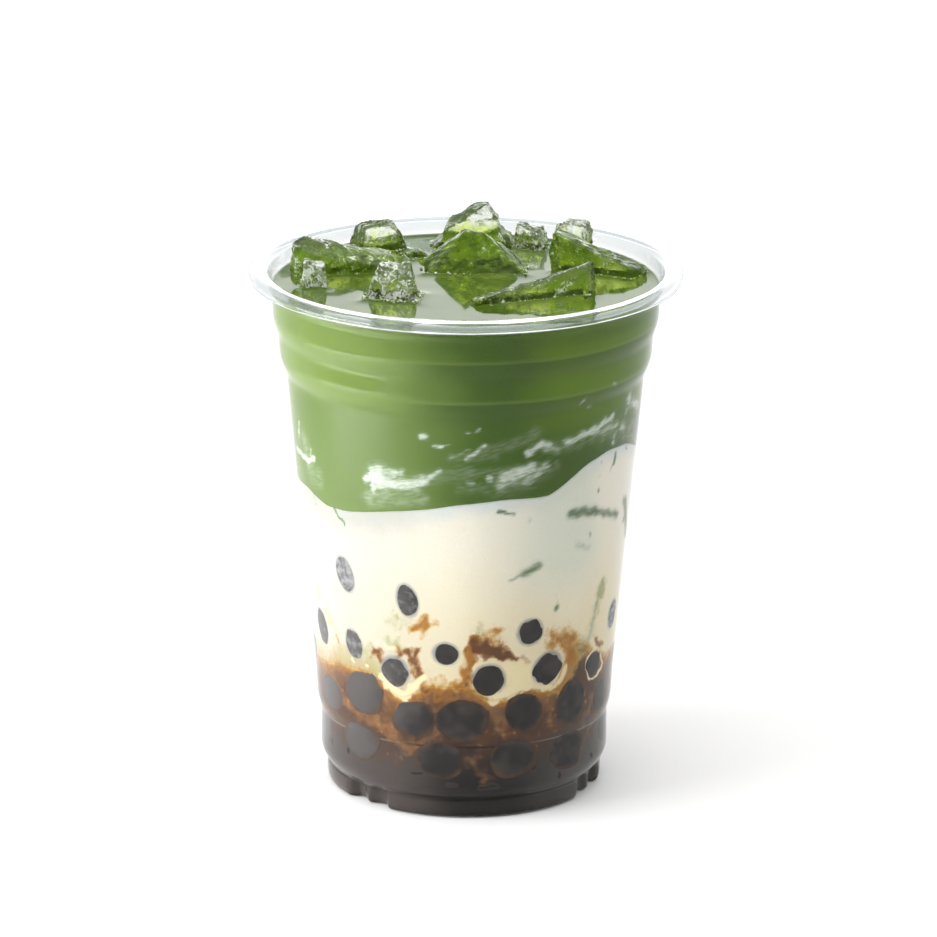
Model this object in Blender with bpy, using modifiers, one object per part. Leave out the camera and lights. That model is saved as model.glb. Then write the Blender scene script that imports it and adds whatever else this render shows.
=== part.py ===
"""Iced matcha latte in a clear plastic cup: matcha over milk over syrup and tapioca pearls.

Lengths are in metres and +Z is up. The origin is the centre of the foot's underside, and the
side shown faces -Y. Angles round the cup are in degrees from the front, growing towards +X.
"""

import math
import random

import bmesh
import bpy
from mathutils import Matrix, Vector

# Cup
FACETS = 48
WALL = 0.00055
CUP_TOP = 0.1213
RIM_RADIUS = 0.0490
ROLL_HALF_WIDTH = 0.0023
ROLL_HALF_HEIGHT = 0.0018
ROLL_STEPS = 6
ROLL_END = -25.0
NECK = (0.0438, 0.1155)
BEAD_STEPS = 2

# Stacking beads from the foot up: radius and height of the crease, then of the full bead
BEADS = (
    ((0.0310, 0.0048), (0.0328, 0.0090)),
    ((0.0328, 0.0174), (0.03375, 0.0220)),
    ((0.04055, 0.0972), (0.0422, 0.1025)),
    ((0.0425, 0.1064), (0.0437, 0.1115)),
)
# Where the wall turns from the lowest beads into the long taper
TAPER_START = (0.0341, 0.0276)

# Foot: a hollow ring round a raised floor, pushed in at four places
FOOT_RADIUS = 0.0314
FOOT_SIDE_TOP = 0.0041
FOOT_EDGE = 0.0010
FOOT_FLAT_INNER = 0.0262
FLOOR_RADIUS = 0.0252
FLOOR_UNDERSIDE = 0.0027
FLOOR_CROWN = 0.0003
NOTCH_CENTRES = (-45, 67.5, 135, -112.5)
NOTCH_DEPTH = 0.0020
# Share of the notch's depth at each facet step from its middle, where a rib stands
NOTCH_SHARES = (0.35, 1.0)

# Drink
GAP = 0.0003
DRINK_LEVEL = 0.1167
MILK_TOP = 0.0750
SYRUP_TOP = 0.0310
HEAP_TOP = 0.0270
WAVE_REACH = 0.0160
# Waves of each boundary at the wall: angle, height and half-width in degrees
MATCHA_WAVES = ((60, 0.0092, 28), (8, 0.0018, 20), (-48, -0.0036, 22), (165, 0.0050, 30), (-130, -0.0030, 35))
SYRUP_WAVES = ((-70, 0.0020, 22), (-20, -0.0022, 14), (2, 0.0022, 12), (48, 0.0018, 14), (120, 0.0024, 30),
               (70, -0.0024, 14), (-150, 0.0020, 28))

# Tapioca pearls
PEARL_RADIUS = 0.0046
PEARL_ROWS = (0.0128, 0.0220)
PEARLS_IN_ROW = 19
CORE_INSET = 0.0022

# Ice: name, middle (x, y), length, width, turn, bottom, top at the left and right end, top's share
ICE = (
    ("ice_left_wedge", (-0.0282, 0.0120), 0.0205, 0.0092, 8, 0.1040, 0.1243, 0.1188, (0.94, 0.70)),
    ("ice_left_stub", (-0.0342, -0.0012), 0.0058, 0.0062, 4, 0.1080, 0.1228, 0.1226, (0.80, 0.70)),
    ("ice_front_left", (-0.0165, -0.0115), 0.0115, 0.0082, -10, 0.1055, 0.1236, 0.1252, (0.48, 0.45)),
    ("ice_back_left", (-0.0203, 0.0298), 0.0125, 0.0072, 31, 0.1060, 0.1228, 0.1234, (0.62, 0.60)),
    ("ice_back_peak", (0.0020, 0.0325), 0.0175, 0.0090, -2, 0.1040, 0.1268, 0.1276, (0.30, 0.40)),
    ("ice_back_right", (0.0147, 0.0322), 0.0072, 0.0070, -14, 0.1080, 0.1234, 0.1218, (0.70, 0.55)),
    ("ice_centre", (0.0025, 0.0135), 0.0220, 0.0110, 0, 0.1020, 0.1254, 0.1258, (0.16, 0.30)),
    ("ice_small", (-0.0112, 0.0232), 0.0042, 0.0042, 20, 0.1110, 0.1190, 0.1186, (0.60, 0.60)),
    ("ice_right_block", (0.0246, 0.0302), 0.0080, 0.0062, -38, 0.1070, 0.1242, 0.1248, (0.70, 0.62)),
    ("ice_right_slab", (0.0304, 0.0108), 0.0196, 0.0070, -24, 0.1030, 0.1250, 0.1186, (0.98, 0.80)),
    ("ice_front_right", (0.0149, -0.0114), 0.0290, 0.0052, 22, 0.1060, 0.1178, 0.1238, (0.98, 0.60)),
)
ICE_BOTTOM_SHARE = 0.82
ICE_WAIST = 0.0008
ICE_UNEVENNESS = 0.10
ICE_BEVEL = 0.0006
POCKET_GROWTH = 0.00045

# Colours, as linear red, green and blue
CUP_COLOUR = (0.90, 0.94, 0.94)
MATCHA_COLOUR = (0.13, 0.26, 0.045)
MILK_COLOUR = (0.86, 0.83, 0.70)
SYRUP_COLOUR = (0.20, 0.075, 0.018)
PEARL_COLOUR = (0.022, 0.014, 0.012)
ICE_COLOUR = (0.50, 0.66, 0.42)


def clear_scene():
    """Removes every object that the scene starts with."""
    for obj in list(bpy.data.objects):
        bpy.data.objects.remove(obj, do_unlink=True)


def make_collection(name):
    """A collection linked to the scene."""
    collection = bpy.data.collections.new(name)
    bpy.context.scene.collection.children.link(collection)
    return collection


def make_material(name, colour, roughness, alpha=1.0):
    """A Principled material of one colour."""
    material = bpy.data.materials.new(name)
    material.use_nodes = True
    shader = material.node_tree.nodes["Principled BSDF"]
    shader.inputs["Base Color"].default_value = (*colour, 1.0)
    shader.inputs["Roughness"].default_value = roughness
    shader.inputs["Metallic"].default_value = 0.0
    shader.inputs["Alpha"].default_value = alpha
    material.diffuse_color = (*colour, alpha)
    return material


def wall_points():
    """The wall's outer line from the foot's crease to the neck, as (radius, height)."""
    points = []
    for (low_r, low_z), (high_r, high_z) in BEADS:
        for step in range(BEAD_STEPS + 1):
            share = step / BEAD_STEPS
            bulge = math.sin(share * math.pi / 2)
            points.append((low_r + (high_r - low_r) * bulge, low_z + (high_z - low_z) * share))
    points.append(NECK)
    points.append(TAPER_START)
    return sorted(points, key=lambda point: point[1])


def outer_radius(z):
    """Outer radius of the cup's wall at height z, between the foot's crease and the neck."""
    points = wall_points()
    for (low_r, low_z), (high_r, high_z) in zip(points, points[1:]):
        if z <= high_z:
            return low_r + (high_r - low_r) * (z - low_z) / (high_z - low_z)
    rim_r = RIM_RADIUS - 2 * ROLL_HALF_WIDTH + WALL
    rim_z = CUP_TOP - ROLL_HALF_HEIGHT
    return high_r + (rim_r - high_r) * (z - high_z) / (rim_z - high_z)


def fill_radius(z, clearance=GAP):
    """Radius of what fills the cup at height z, clear of the inner wall."""
    return outer_radius(z) - WALL - clearance


def turned_mesh(name, profile):
    """A closed mesh turned from a profile of (radius, height) that ends on the axis."""
    mesh = bpy.data.meshes.new(name)
    edges = [(index, index + 1) for index in range(len(profile) - 1)]
    mesh.from_pydata([(radius, 0.0, height) for radius, height in profile], edges, [])
    turned = bpy.data.objects.new(name, mesh)
    bpy.context.scene.collection.objects.link(turned)
    screw = turned.modifiers.new("turn", "SCREW")
    screw.steps = FACETS
    screw.render_steps = FACETS
    screw.use_merge_vertices = True
    screw.merge_threshold = 0.0001
    screw.use_smooth_shade = True
    bpy.context.view_layer.update()
    evaluated = turned.evaluated_get(bpy.context.evaluated_depsgraph_get())
    solid = bpy.data.meshes.new_from_object(evaluated)
    bpy.data.objects.remove(turned, do_unlink=True)
    bpy.data.meshes.remove(mesh)
    solid.name = name
    return solid


def push_in_notches(mesh):
    """Moves the foot's side inwards at the notches, on its outer and inner face alike."""
    facet = 360 / FACETS
    for vertex in mesh.vertices:
        radius = math.hypot(vertex.co.x, vertex.co.y)
        if vertex.co.z > FOOT_SIDE_TOP + GAP or radius < (FOOT_FLAT_INNER + FOOT_RADIUS) / 2:
            continue
        angle = math.degrees(math.atan2(vertex.co.x, -vertex.co.y))
        away = min(abs((angle - centre + 180) % 360 - 180) for centre in NOTCH_CENTRES)
        steps = round(away / facet)
        if steps < len(NOTCH_SHARES):
            moved = (radius - NOTCH_DEPTH * NOTCH_SHARES[steps]) / radius
            vertex.co.x *= moved
            vertex.co.y *= moved


def link_solid(name, mesh, material, collection):
    """An object of this mesh in the collection, shaded smooth but for its sharp edges."""
    mesh.materials.clear()
    mesh.materials.append(material)
    mesh.shade_smooth()
    mesh.set_sharp_from_angle(angle=math.radians(35))
    obj = bpy.data.objects.new(name, mesh)
    collection.objects.link(obj)
    return obj


def roll_points(inset):
    """The rim's rolled edge, from its inner side over the top to the end of its skirt."""
    middle_r = RIM_RADIUS - ROLL_HALF_WIDTH
    middle_z = CUP_TOP - ROLL_HALF_HEIGHT
    points = []
    for step in range(ROLL_STEPS + 1):
        angle = math.radians(180 + (ROLL_END - 180) * step / ROLL_STEPS)
        points.append((middle_r + (ROLL_HALF_WIDTH - inset) * math.cos(angle),
                       middle_z + (ROLL_HALF_HEIGHT - inset) * math.sin(angle)))
    return points


def make_cup(collection):
    """Thin cup: raised floor, hollow foot ring, beaded taper and a rim rolled outwards."""
    outer = wall_points()
    inner = [(radius - WALL, height) for radius, height in outer]
    floor = [(0.0, FLOOR_UNDERSIDE + FLOOR_CROWN + WALL),
             (FLOOR_RADIUS + WALL, FLOOR_UNDERSIDE + WALL),
             (FOOT_FLAT_INNER + WALL, WALL),
             (FOOT_RADIUS - FOOT_EDGE - WALL, WALL),
             (FOOT_RADIUS - WALL, FOOT_EDGE + WALL),
             (FOOT_RADIUS - WALL, FOOT_SIDE_TOP)]
    foot = [(FOOT_RADIUS, FOOT_SIDE_TOP),
            (FOOT_RADIUS, FOOT_EDGE),
            (FOOT_RADIUS - FOOT_EDGE, 0.0),
            (FOOT_FLAT_INNER, 0.0),
            (FLOOR_RADIUS, FLOOR_UNDERSIDE),
            (0.0, FLOOR_UNDERSIDE + FLOOR_CROWN)]
    rim = roll_points(0.0) + roll_points(WALL)[::-1]
    mesh = turned_mesh("cup", floor + inner + rim + outer[::-1] + foot)
    push_in_notches(mesh)
    material = make_material("clear plastic", CUP_COLOUR, 0.08, alpha=0.30)
    return link_solid("cup", mesh, material, collection)


def wave(angle, humps):
    """Height of a wavy boundary at this angle: a sum of smooth humps and hollows."""
    total = 0.0
    for centre, height, half_width in humps:
        away = (angle - centre + 180) % 360 - 180
        total += height * math.exp(-((away / half_width) ** 2))
    return total


def make_layer(name, low, high, low_waves, high_waves, rings, material, collection):
    """A layer of drink between two wavy boundaries, fitted to the cup's inner wall."""
    heights = [height for _, height in wall_points() if low + GAP < height < high - GAP]
    side = [(fill_radius(height), height) for height in [low, *heights, high]]
    upper = [(side[-1][0] * ring, high) for ring in rings]
    lower = [(side[0][0] * ring, low) for ring in rings]
    profile = [(0.0, high), *upper, *side[::-1], *lower[::-1], (0.0, low)]
    mesh = turned_mesh(name, profile)
    reach = min(WAVE_REACH, high - low)
    for vertex in mesh.vertices:
        radius = math.hypot(vertex.co.x, vertex.co.y)
        height = vertex.co.z
        at_side = abs(radius - fill_radius(height)) < GAP / 3
        angle = math.degrees(math.atan2(vertex.co.x, -vertex.co.y))
        share = (radius / fill_radius(height)) ** 2
        for level, humps in ((low, low_waves), (high, high_waves)):
            fade = max(0.0, 1 - abs(height - level) / reach)
            vertex.co.z += wave(angle, humps) * share * fade
        if at_side:
            moved = fill_radius(vertex.co.z) / radius
            vertex.co.x *= moved
            vertex.co.y *= moved
    return link_solid(name, mesh, material, collection)


def make_heap(collection):
    """Cooked tapioca pearls filling the foot and the base: a core with pearls at the wall."""
    top_rows = [height for _, height in wall_points() if height < HEAP_TOP - GAP]
    side = [(fill_radius(height, CORE_INSET), height) for height in [*top_rows, HEAP_TOP]]
    clear = WALL + GAP
    profile = [(0.0, HEAP_TOP), *side[::-1],
               (FOOT_RADIUS - clear, FOOT_SIDE_TOP - GAP),
               (FOOT_RADIUS - clear, FOOT_EDGE + clear),
               (FOOT_RADIUS - FOOT_EDGE - clear, clear),
               (FOOT_FLAT_INNER + clear, clear),
               (FLOOR_RADIUS + clear, FLOOR_UNDERSIDE + clear),
               (0.0, FLOOR_UNDERSIDE + FLOOR_CROWN + clear)]
    mesh = turned_mesh("tapioca_pearls", profile)
    push_in_notches(mesh)
    material = make_material("cooked tapioca", PEARL_COLOUR, 0.25)
    heap = link_solid("tapioca_pearls", mesh, material, collection)
    pearls = make_collection("pearls")
    for row, height in enumerate(PEARL_ROWS):
        ring = fill_radius(height - PEARL_RADIUS / 2) - PEARL_RADIUS - GAP
        for place in range(PEARLS_IN_ROW):
            turn = 2 * math.pi * (place + row / 2) / PEARLS_IN_ROW
            ball = bmesh.new()
            bmesh.ops.create_icosphere(ball, subdivisions=2, radius=PEARL_RADIUS)
            centre = Matrix.Translation((ring * math.sin(turn), -ring * math.cos(turn), height))
            spin = Matrix.Rotation(turn, 4, "Z")
            bmesh.ops.transform(ball, matrix=centre @ spin, verts=ball.verts)
            ball_mesh = bpy.data.meshes.new(f"pearl_{row}_{place}")
            ball.to_mesh(ball_mesh)
            ball.free()
            pearls.objects.link(bpy.data.objects.new(ball_mesh.name, ball_mesh))
    union = heap.modifiers.new("pearls", "BOOLEAN")
    union.operation = "UNION"
    union.solver = "EXACT"
    union.operand_type = "COLLECTION"
    union.collection = pearls
    bpy.context.view_layer.update()
    joined = bpy.data.meshes.new_from_object(heap.evaluated_get(bpy.context.evaluated_depsgraph_get()))
    heap.modifiers.remove(union)
    heap.data = joined
    for pearl in list(pearls.objects):
        bpy.data.objects.remove(pearl, do_unlink=True)
    bpy.data.collections.remove(pearls)
    return heap


def ice_mesh(name, middle, length, width, turn, bottom, left_top, right_top, top_share, growth):
    """A broken block of ice, widest near the drink's level, with a sloping top and uneven corners."""
    uneven = random.Random(name)
    block = bmesh.new()
    bmesh.ops.create_cube(block, size=1.0)
    bmesh.ops.bisect_plane(block, geom=block.verts[:] + block.edges[:] + block.faces[:],
                           plane_co=(0, 0, 0), plane_no=(0, 0, 1))
    for corner in sorted(block.verts, key=lambda vertex: tuple(vertex.co)):
        end, side, storey = corner.co.x * 2, corner.co.y * 2, round(corner.co.z * 2)
        shares = {-1: (ICE_BOTTOM_SHARE, ICE_BOTTOM_SHARE), 0: (1.0, 1.0), 1: top_share}[storey]
        height = {-1: bottom, 0: DRINK_LEVEL - ICE_WAIST, 1: left_top if end < 0 else right_top}[storey]
        along = shares[0] * (1 - uneven.uniform(0, ICE_UNEVENNESS))
        across = shares[1] * (1 - uneven.uniform(0, ICE_UNEVENNESS))
        corner.co = Vector((end * along * length / 2, side * across * width / 2, height))
    bmesh.ops.bevel(block, geom=block.edges[:], offset=ICE_BEVEL, segments=1, affect="EDGES",
                    clamp_overlap=True)
    block.normal_update()
    for vertex, normal in [(vertex, vertex.normal.copy()) for vertex in block.verts]:
        vertex.co += normal * growth
    place = Matrix.Translation((*middle, 0.0)) @ Matrix.Rotation(math.radians(turn), 4, "Z")
    bmesh.ops.transform(block, matrix=place, verts=block.verts)
    bmesh.ops.triangulate(block, faces=block.faces[:])
    mesh = bpy.data.meshes.new(name)
    block.to_mesh(mesh)
    block.free()
    return mesh


def make_ice(collection, cutters):
    """The broken ice that floats in the matcha, and a slightly larger cutter for each piece."""
    material = make_material("ice", ICE_COLOUR, 0.06, alpha=0.75)
    for name, *shape in ICE:
        link_solid(name, ice_mesh(name, *shape, 0.0), material, collection)
        cutter = bpy.data.objects.new(f"{name}_pocket", ice_mesh(name, *shape, POCKET_GROWTH))
        cutter.hide_render = True
        cutter.display_type = "WIRE"
        cutters.objects.link(cutter)


def make_drink(collection, cutters):
    """Syrup, milk and matcha in their order from the heap up, with pockets round the ice."""
    syrup = make_material("brown sugar syrup", SYRUP_COLOUR, 0.15)
    milk = make_material("milk", MILK_COLOUR, 0.20)
    matcha = make_material("matcha", MATCHA_COLOUR, 0.15)
    make_layer("syrup", HEAP_TOP + GAP, SYRUP_TOP, (), SYRUP_WAVES, (0.5,), syrup, collection)
    make_layer("milk", SYRUP_TOP + GAP, MILK_TOP, SYRUP_WAVES, MATCHA_WAVES, (0.4, 0.75), milk, collection)
    upper = make_layer("matcha", MILK_TOP + GAP, DRINK_LEVEL, MATCHA_WAVES, (), (0.4, 0.75), matcha, collection)
    pockets = upper.modifiers.new("ice pockets", "BOOLEAN")
    pockets.operation = "DIFFERENCE"
    pockets.solver = "EXACT"
    pockets.operand_type = "COLLECTION"
    pockets.collection = cutters


def main():
    clear_scene()
    parts = make_collection("matcha latte")
    cutters = make_collection("cutters")
    make_cup(parts)
    make_heap(parts)
    make_ice(parts, cutters)
    make_drink(parts, cutters)


main()
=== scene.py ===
"""Looks of an iced matcha latte in a clear plastic cup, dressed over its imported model.

Lengths are in metres and +Z is up. Places on the wall are given by an angle in degrees from the
front, which faces -Y, growing towards +X, and by a height in millimetres.
"""

import math

import bmesh
import bpy
import numpy as np
from mathutils import Matrix, Vector


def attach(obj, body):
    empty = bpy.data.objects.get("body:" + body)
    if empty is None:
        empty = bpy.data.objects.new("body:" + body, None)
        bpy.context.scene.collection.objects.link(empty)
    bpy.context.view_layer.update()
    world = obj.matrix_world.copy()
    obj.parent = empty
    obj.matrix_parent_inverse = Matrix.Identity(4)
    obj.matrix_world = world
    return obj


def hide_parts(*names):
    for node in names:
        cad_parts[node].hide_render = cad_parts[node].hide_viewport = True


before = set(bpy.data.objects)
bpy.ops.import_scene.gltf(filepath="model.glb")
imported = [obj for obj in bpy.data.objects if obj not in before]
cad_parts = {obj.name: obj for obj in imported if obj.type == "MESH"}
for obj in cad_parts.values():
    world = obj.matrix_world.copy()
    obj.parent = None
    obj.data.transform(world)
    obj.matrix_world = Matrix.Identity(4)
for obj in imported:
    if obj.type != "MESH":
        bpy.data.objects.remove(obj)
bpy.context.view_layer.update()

# Camera
# It stands far off and looks down a little, so the cup's sides hardly lean and its mouth shows
# as a flat ellipse with the drink's surface inside.
PHOTO_WIDTH = 937
FOCAL_PIXELS = 6591
CAMERA_DISTANCE = 1.5
LOOK_DOWN = math.radians(16.9)
CAMERA_TILT = math.radians(0.27)
AIM_SIDE, AIM_HEIGHT = 0.00076, 0.07335

lens = bpy.data.cameras.new("camera")
lens.sensor_width = 36
lens.lens = FOCAL_PIXELS / PHOTO_WIDTH * lens.sensor_width
lens.clip_start, lens.clip_end = 0.05, 30
camera = bpy.data.objects.new("camera", lens)
bpy.context.scene.collection.objects.link(camera)
camera.matrix_world = (
    Matrix.Translation((AIM_SIDE, -CAMERA_DISTANCE * math.cos(LOOK_DOWN),
                        AIM_HEIGHT + CAMERA_DISTANCE * math.sin(LOOK_DOWN)))
    @ Matrix.Rotation(math.pi / 2 - LOOK_DOWN, 4, "X")
    @ Matrix.Rotation(CAMERA_TILT, 4, "Z"))
bpy.context.scene.camera = camera
bpy.context.scene.view_settings.view_transform = "Standard"


# Floor and light
# A white table runs past the picture's edges. A wide soft window stands to the left, the room
# behind is bright, and the side towards the viewer is dim, so the cup's left wall shines.
class Field:
    """A socket of a node tree, so that shader maths reads as plain expressions."""

    def __init__(self, tree, socket=None):
        self.tree = tree
        self.socket = socket

    def feed(self, socket, value):
        """Links a Field to the socket, or sets the socket's own value."""
        if isinstance(value, Field):
            self.tree.links.new(value.socket, socket)
        elif socket.type == "RGBA":
            socket.default_value = (*value, 1.0)
        else:
            socket.default_value = value

    def node(self, kind, inputs=None, output=0, **settings):
        """Adds a node, sets its settings and then its sockets, and returns one output."""
        made = self.tree.nodes.new(kind)
        for name, value in settings.items():
            setattr(made, name, value)
        for key, value in (inputs or {}).items():
            self.feed(made.inputs[key], value)
        return Field(self.tree, made.outputs[output])

    def maths(self, operation, *others):
        return self.node("ShaderNodeMath", dict(enumerate((self, *others))), operation=operation)

    def __add__(self, other):
        return self.maths("ADD", other)

    def __sub__(self, other):
        return self.maths("SUBTRACT", other)

    def __mul__(self, other):
        return self.maths("MULTIPLY", other)

    def __truediv__(self, other):
        return self.maths("DIVIDE", other)

    def __pow__(self, other):
        return self.maths("POWER", other)

    def __rsub__(self, other):
        return self.maths("MULTIPLY", -1.0).maths("ADD", other)

    __radd__ = __add__
    __rmul__ = __mul__

    def rise(self, low, high):
        """0 up to low, 1 from high on, and a smooth step between."""
        return self.node("ShaderNodeMapRange", {"Value": self, "From Min": low, "From Max": high},
                         interpolation_type="SMOOTHSTEP")

    def blend(self, at_zero, at_one):
        """The colour at_zero where this is 0, turning to at_one where it is 1."""
        return self.node("ShaderNodeMix", {0: self, 6: at_zero, 7: at_one}, output=2, data_type="RGBA")


FLOOR_HALF = 5.0
FLOOR_SINK = 0.00004
FLOOR_COLOUR = (0.86, 0.86, 0.86)
# Light of the room: an even share, light from overhead, a band along the horizon that is
# brighter towards some sides, and the bright wall that the drink's surface mirrors
ROOM_LIGHT = 0.05
OVERHEAD, OVERHEAD_NARROWNESS = 2.9, 3.5
HORIZON_THINNESS = 4.0
HORIZON_SIDES = (((-1.0, 0.0), 2.0, 0.8), ((0.0, 1.0), 5.0, 2.6), ((1.0, 0.1), 2.0, 3.0),
                 ((0.3, -1.0), 2.0, 0.8))
FAR_WALL, FAR_WALL_NARROWNESS, FAR_WALL_LIGHT = (0.0, 0.957, 0.290), 16.0, 1.4
# The window: a soft panel low at the left, turned to the cup
PANEL_PLACE, PANEL_AIM = (-0.235, -0.09, 0.080), (0.0, 0.0, 0.045)
PANEL_WIDTH, PANEL_HEIGHT = 0.20, 0.14
PANEL_RADIANCE = 12.5

floor_mesh = bpy.data.meshes.new("floor")
floor_mesh.from_pydata([(x * FLOOR_HALF, y * FLOOR_HALF, -FLOOR_SINK)
                        for x, y in ((-1, -1), (1, -1), (1, 1), (-1, 1))], [], [(0, 1, 2, 3)])
floor = bpy.data.objects.new("floor", floor_mesh)
bpy.context.scene.collection.objects.link(floor)
floor_paint = bpy.data.materials.new("white table")
floor_paint.use_nodes = True
floor_shader = floor_paint.node_tree.nodes["Principled BSDF"]
floor_shader.inputs["Base Color"].default_value = (*FLOOR_COLOUR, 1.0)
floor_shader.inputs["Roughness"].default_value = 0.9
floor_shader.inputs["Specular IOR Level"].default_value = 0.0
floor_mesh.materials.append(floor_paint)

room = bpy.data.worlds.new("room")
bpy.context.scene.world = room
room.use_nodes = True
sky = Field(room.node_tree)
direction = sky.node("ShaderNodeTexCoord", output="Generated")
upward = sky.node("ShaderNodeSeparateXYZ", {0: direction}, output="Z").maths("MAXIMUM", 0.0)
along = (1.0 - upward * upward) ** 0.5


def towards(x, y, z=0.0):
    """Cosine between the direction looked in and this one, and 0 for the far half."""
    facing = sky.node("ShaderNodeVectorMath", {0: direction, 1: (x, y, z)}, output="Value",
                      operation="DOT_PRODUCT")
    return facing.maths("MAXIMUM", 0.0)


horizon = 0.0
for side, narrowness, power in HORIZON_SIDES:
    horizon = (towards(*side) / along.maths("MAXIMUM", 0.001)) ** narrowness * power + horizon
strength = (upward ** OVERHEAD_NARROWNESS * OVERHEAD + (1.0 - upward) ** HORIZON_THINNESS * horizon
            + towards(*FAR_WALL) ** FAR_WALL_NARROWNESS * FAR_WALL_LIGHT + ROOM_LIGHT)
background = room.node_tree.nodes["Background"]
sky.feed(background.inputs["Strength"], strength)
background.inputs["Color"].default_value = (1.0, 1.0, 1.0, 1.0)

panel = bpy.data.lights.new("window", "AREA")
panel.shape = "RECTANGLE"
panel.size, panel.size_y = PANEL_WIDTH, PANEL_HEIGHT
panel.energy = PANEL_RADIANCE * math.pi * PANEL_WIDTH * PANEL_HEIGHT
window = bpy.data.objects.new("window", panel)
bpy.context.scene.collection.objects.link(window)
window.visible_glossy = False
looking = Vector(PANEL_AIM) - Vector(PANEL_PLACE)
window.matrix_world = (Matrix.Translation(PANEL_PLACE)
                       @ looking.to_track_quat("-Z", "Y").to_matrix().to_4x4())

# Cup
# A thin clear cup, formed from one sheet of plastic: a raised floor in a hollow foot with four
# recesses, stacking beads, a long taper and a rim that is rolled outwards.
WALL = 0.00055
CUP_TOP = 0.1213
RIM_RADIUS = 0.0490
ROLL_HALF_WIDTH, ROLL_HALF_HEIGHT = 0.0023, 0.0018
ROLL_END = math.radians(-25)
ROLL_POINTS = 22
NECK = (0.0438, 0.1155)
TAPER_START = (0.0341, 0.0276)
# Stacking beads from the foot up: radius and height of the crease, then of the full bead
BEADS = (((0.0310, 0.0048), (0.0328, 0.0090)), ((0.0328, 0.0174), (0.03375, 0.0220)),
         ((0.04055, 0.0972), (0.0422, 0.1025)), ((0.0425, 0.1064), (0.0437, 0.1115)))
BEAD_POINTS = 12
WALL_STEP = 0.0001
ROUNDING = 0.00022
FOOT_RADIUS, FOOT_SIDE_TOP, FOOT_EDGE, FOOT_FLAT_INNER = 0.0314, 0.0041, 0.0010, 0.0262
FLOOR_RADIUS, FLOOR_UNDERSIDE, FLOOR_CROWN = 0.0252, 0.0027, 0.0003
RECESS_CENTRES = (-45, 67.5, 135, -112.5)
RECESS_DEPTH = 0.0020
RECESS_HALF_WIDTH, RECESS_BLEND = 10.5, 3.0
RIB_HALF_WIDTH, RIB_SHARE = 2.4, 0.65
CUP_COLUMNS = 256
CUP_ROWS_STEP = 0.00085
CORNER_CUTS = 2
# The rolled rim is tinted grey, a painted shade for how dark the roll looks
WALL_TINT, ROLL_SHADE_TINT = (0.99, 1.0, 1.0), (0.82, 0.85, 0.86)


def wall_line():
    """The wall's outer line as heights and radii: a quarter sine up each bead and straight
    lines between them, then averaged over a short length so that the creases are rounded."""
    share = np.linspace(0, 1, BEAD_POINTS)
    points = [(FOOT_RADIUS, FOOT_SIDE_TOP), TAPER_START, NECK,
              (RIM_RADIUS - 2 * ROLL_HALF_WIDTH + WALL, CUP_TOP - ROLL_HALF_HEIGHT)]
    for (low_r, low_z), (high_r, high_z) in BEADS:
        points += list(zip(low_r + (high_r - low_r) * np.sin(share * math.pi / 2),
                           low_z + (high_z - low_z) * share))
    radius, height = np.array(sorted(points, key=lambda point: point[1])).T
    heights = np.arange(height[0], height[-1], WALL_STEP)
    reach = round(2 * ROUNDING / WALL_STEP)
    weights = np.exp(-(np.arange(-reach, reach + 1) * WALL_STEP / ROUNDING) ** 2)
    radii = np.interp(heights, height, radius)
    padded = np.pad(radii, reach, mode="edge")
    return heights, np.convolve(padded, weights / weights.sum(), mode="valid")


WALL_HEIGHTS, WALL_RADII = wall_line()


def outer_radius(height):
    """Radius of the cup's outer face at a height, read off the wall's line."""
    return np.interp(height, WALL_HEIGHTS, WALL_RADII)


def cut_corners(line):
    """Rounds a line of points: each side keeps the points at a quarter and three quarters. The
    new line is then rounded in the same way, CORNER_CUTS times in all."""
    for _ in range(CORNER_CUTS):
        quarter = line[:-1] * 0.75 + line[1:] * 0.25
        three_quarters = line[:-1] * 0.25 + line[1:] * 0.75
        middle = np.stack([quarter, three_quarters], axis=1).reshape(-1, 2)
        line = np.concatenate([line[:1], middle, line[-1:]])
    return line


def inside_line(wall):
    """The cup's inner line for a wall of this thickness, from the rim down to the axis."""
    heights = np.arange(CUP_TOP - ROLL_HALF_HEIGHT, BEADS[0][0][1], -CUP_ROWS_STEP)
    side = np.stack([outer_radius(heights) - wall, heights], axis=1)
    foot = np.array([(BEADS[0][0][0] - wall, BEADS[0][0][1]),
                     (FOOT_RADIUS - wall, FOOT_SIDE_TOP),
                     (FOOT_RADIUS - wall, FOOT_EDGE + wall),
                     (FOOT_RADIUS - FOOT_EDGE - wall, wall),
                     (FOOT_FLAT_INNER + wall, wall),
                     (FLOOR_RADIUS + wall, FLOOR_UNDERSIDE + wall),
                     (FLOOR_RADIUS / 2, FLOOR_UNDERSIDE + FLOOR_CROWN / 2 + wall),
                     (0.0003, FLOOR_UNDERSIDE + FLOOR_CROWN + wall)])
    return np.concatenate([side, cut_corners(foot)])


def roll_line(inset):
    """The rolled edge: part of an ellipse from its skirt's end over the top to the inner side."""
    angle = np.linspace(ROLL_END, math.pi, ROLL_POINTS)
    return np.stack([RIM_RADIUS - ROLL_HALF_WIDTH + (ROLL_HALF_WIDTH - inset) * np.cos(angle),
                     CUP_TOP - ROLL_HALF_HEIGHT + (ROLL_HALF_HEIGHT - inset) * np.sin(angle)], axis=1)


def turned(line, columns):
    """A line of (radius, height) turned round the axis: x = r sin a, y = -r cos a."""
    angle = np.linspace(0, 2 * math.pi, columns, endpoint=False)
    radius, height = line[:, :1], line[:, 1:]
    return np.stack([radius * np.sin(angle), -radius * np.cos(angle),
                     height + 0 * angle], axis=-1)


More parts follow.
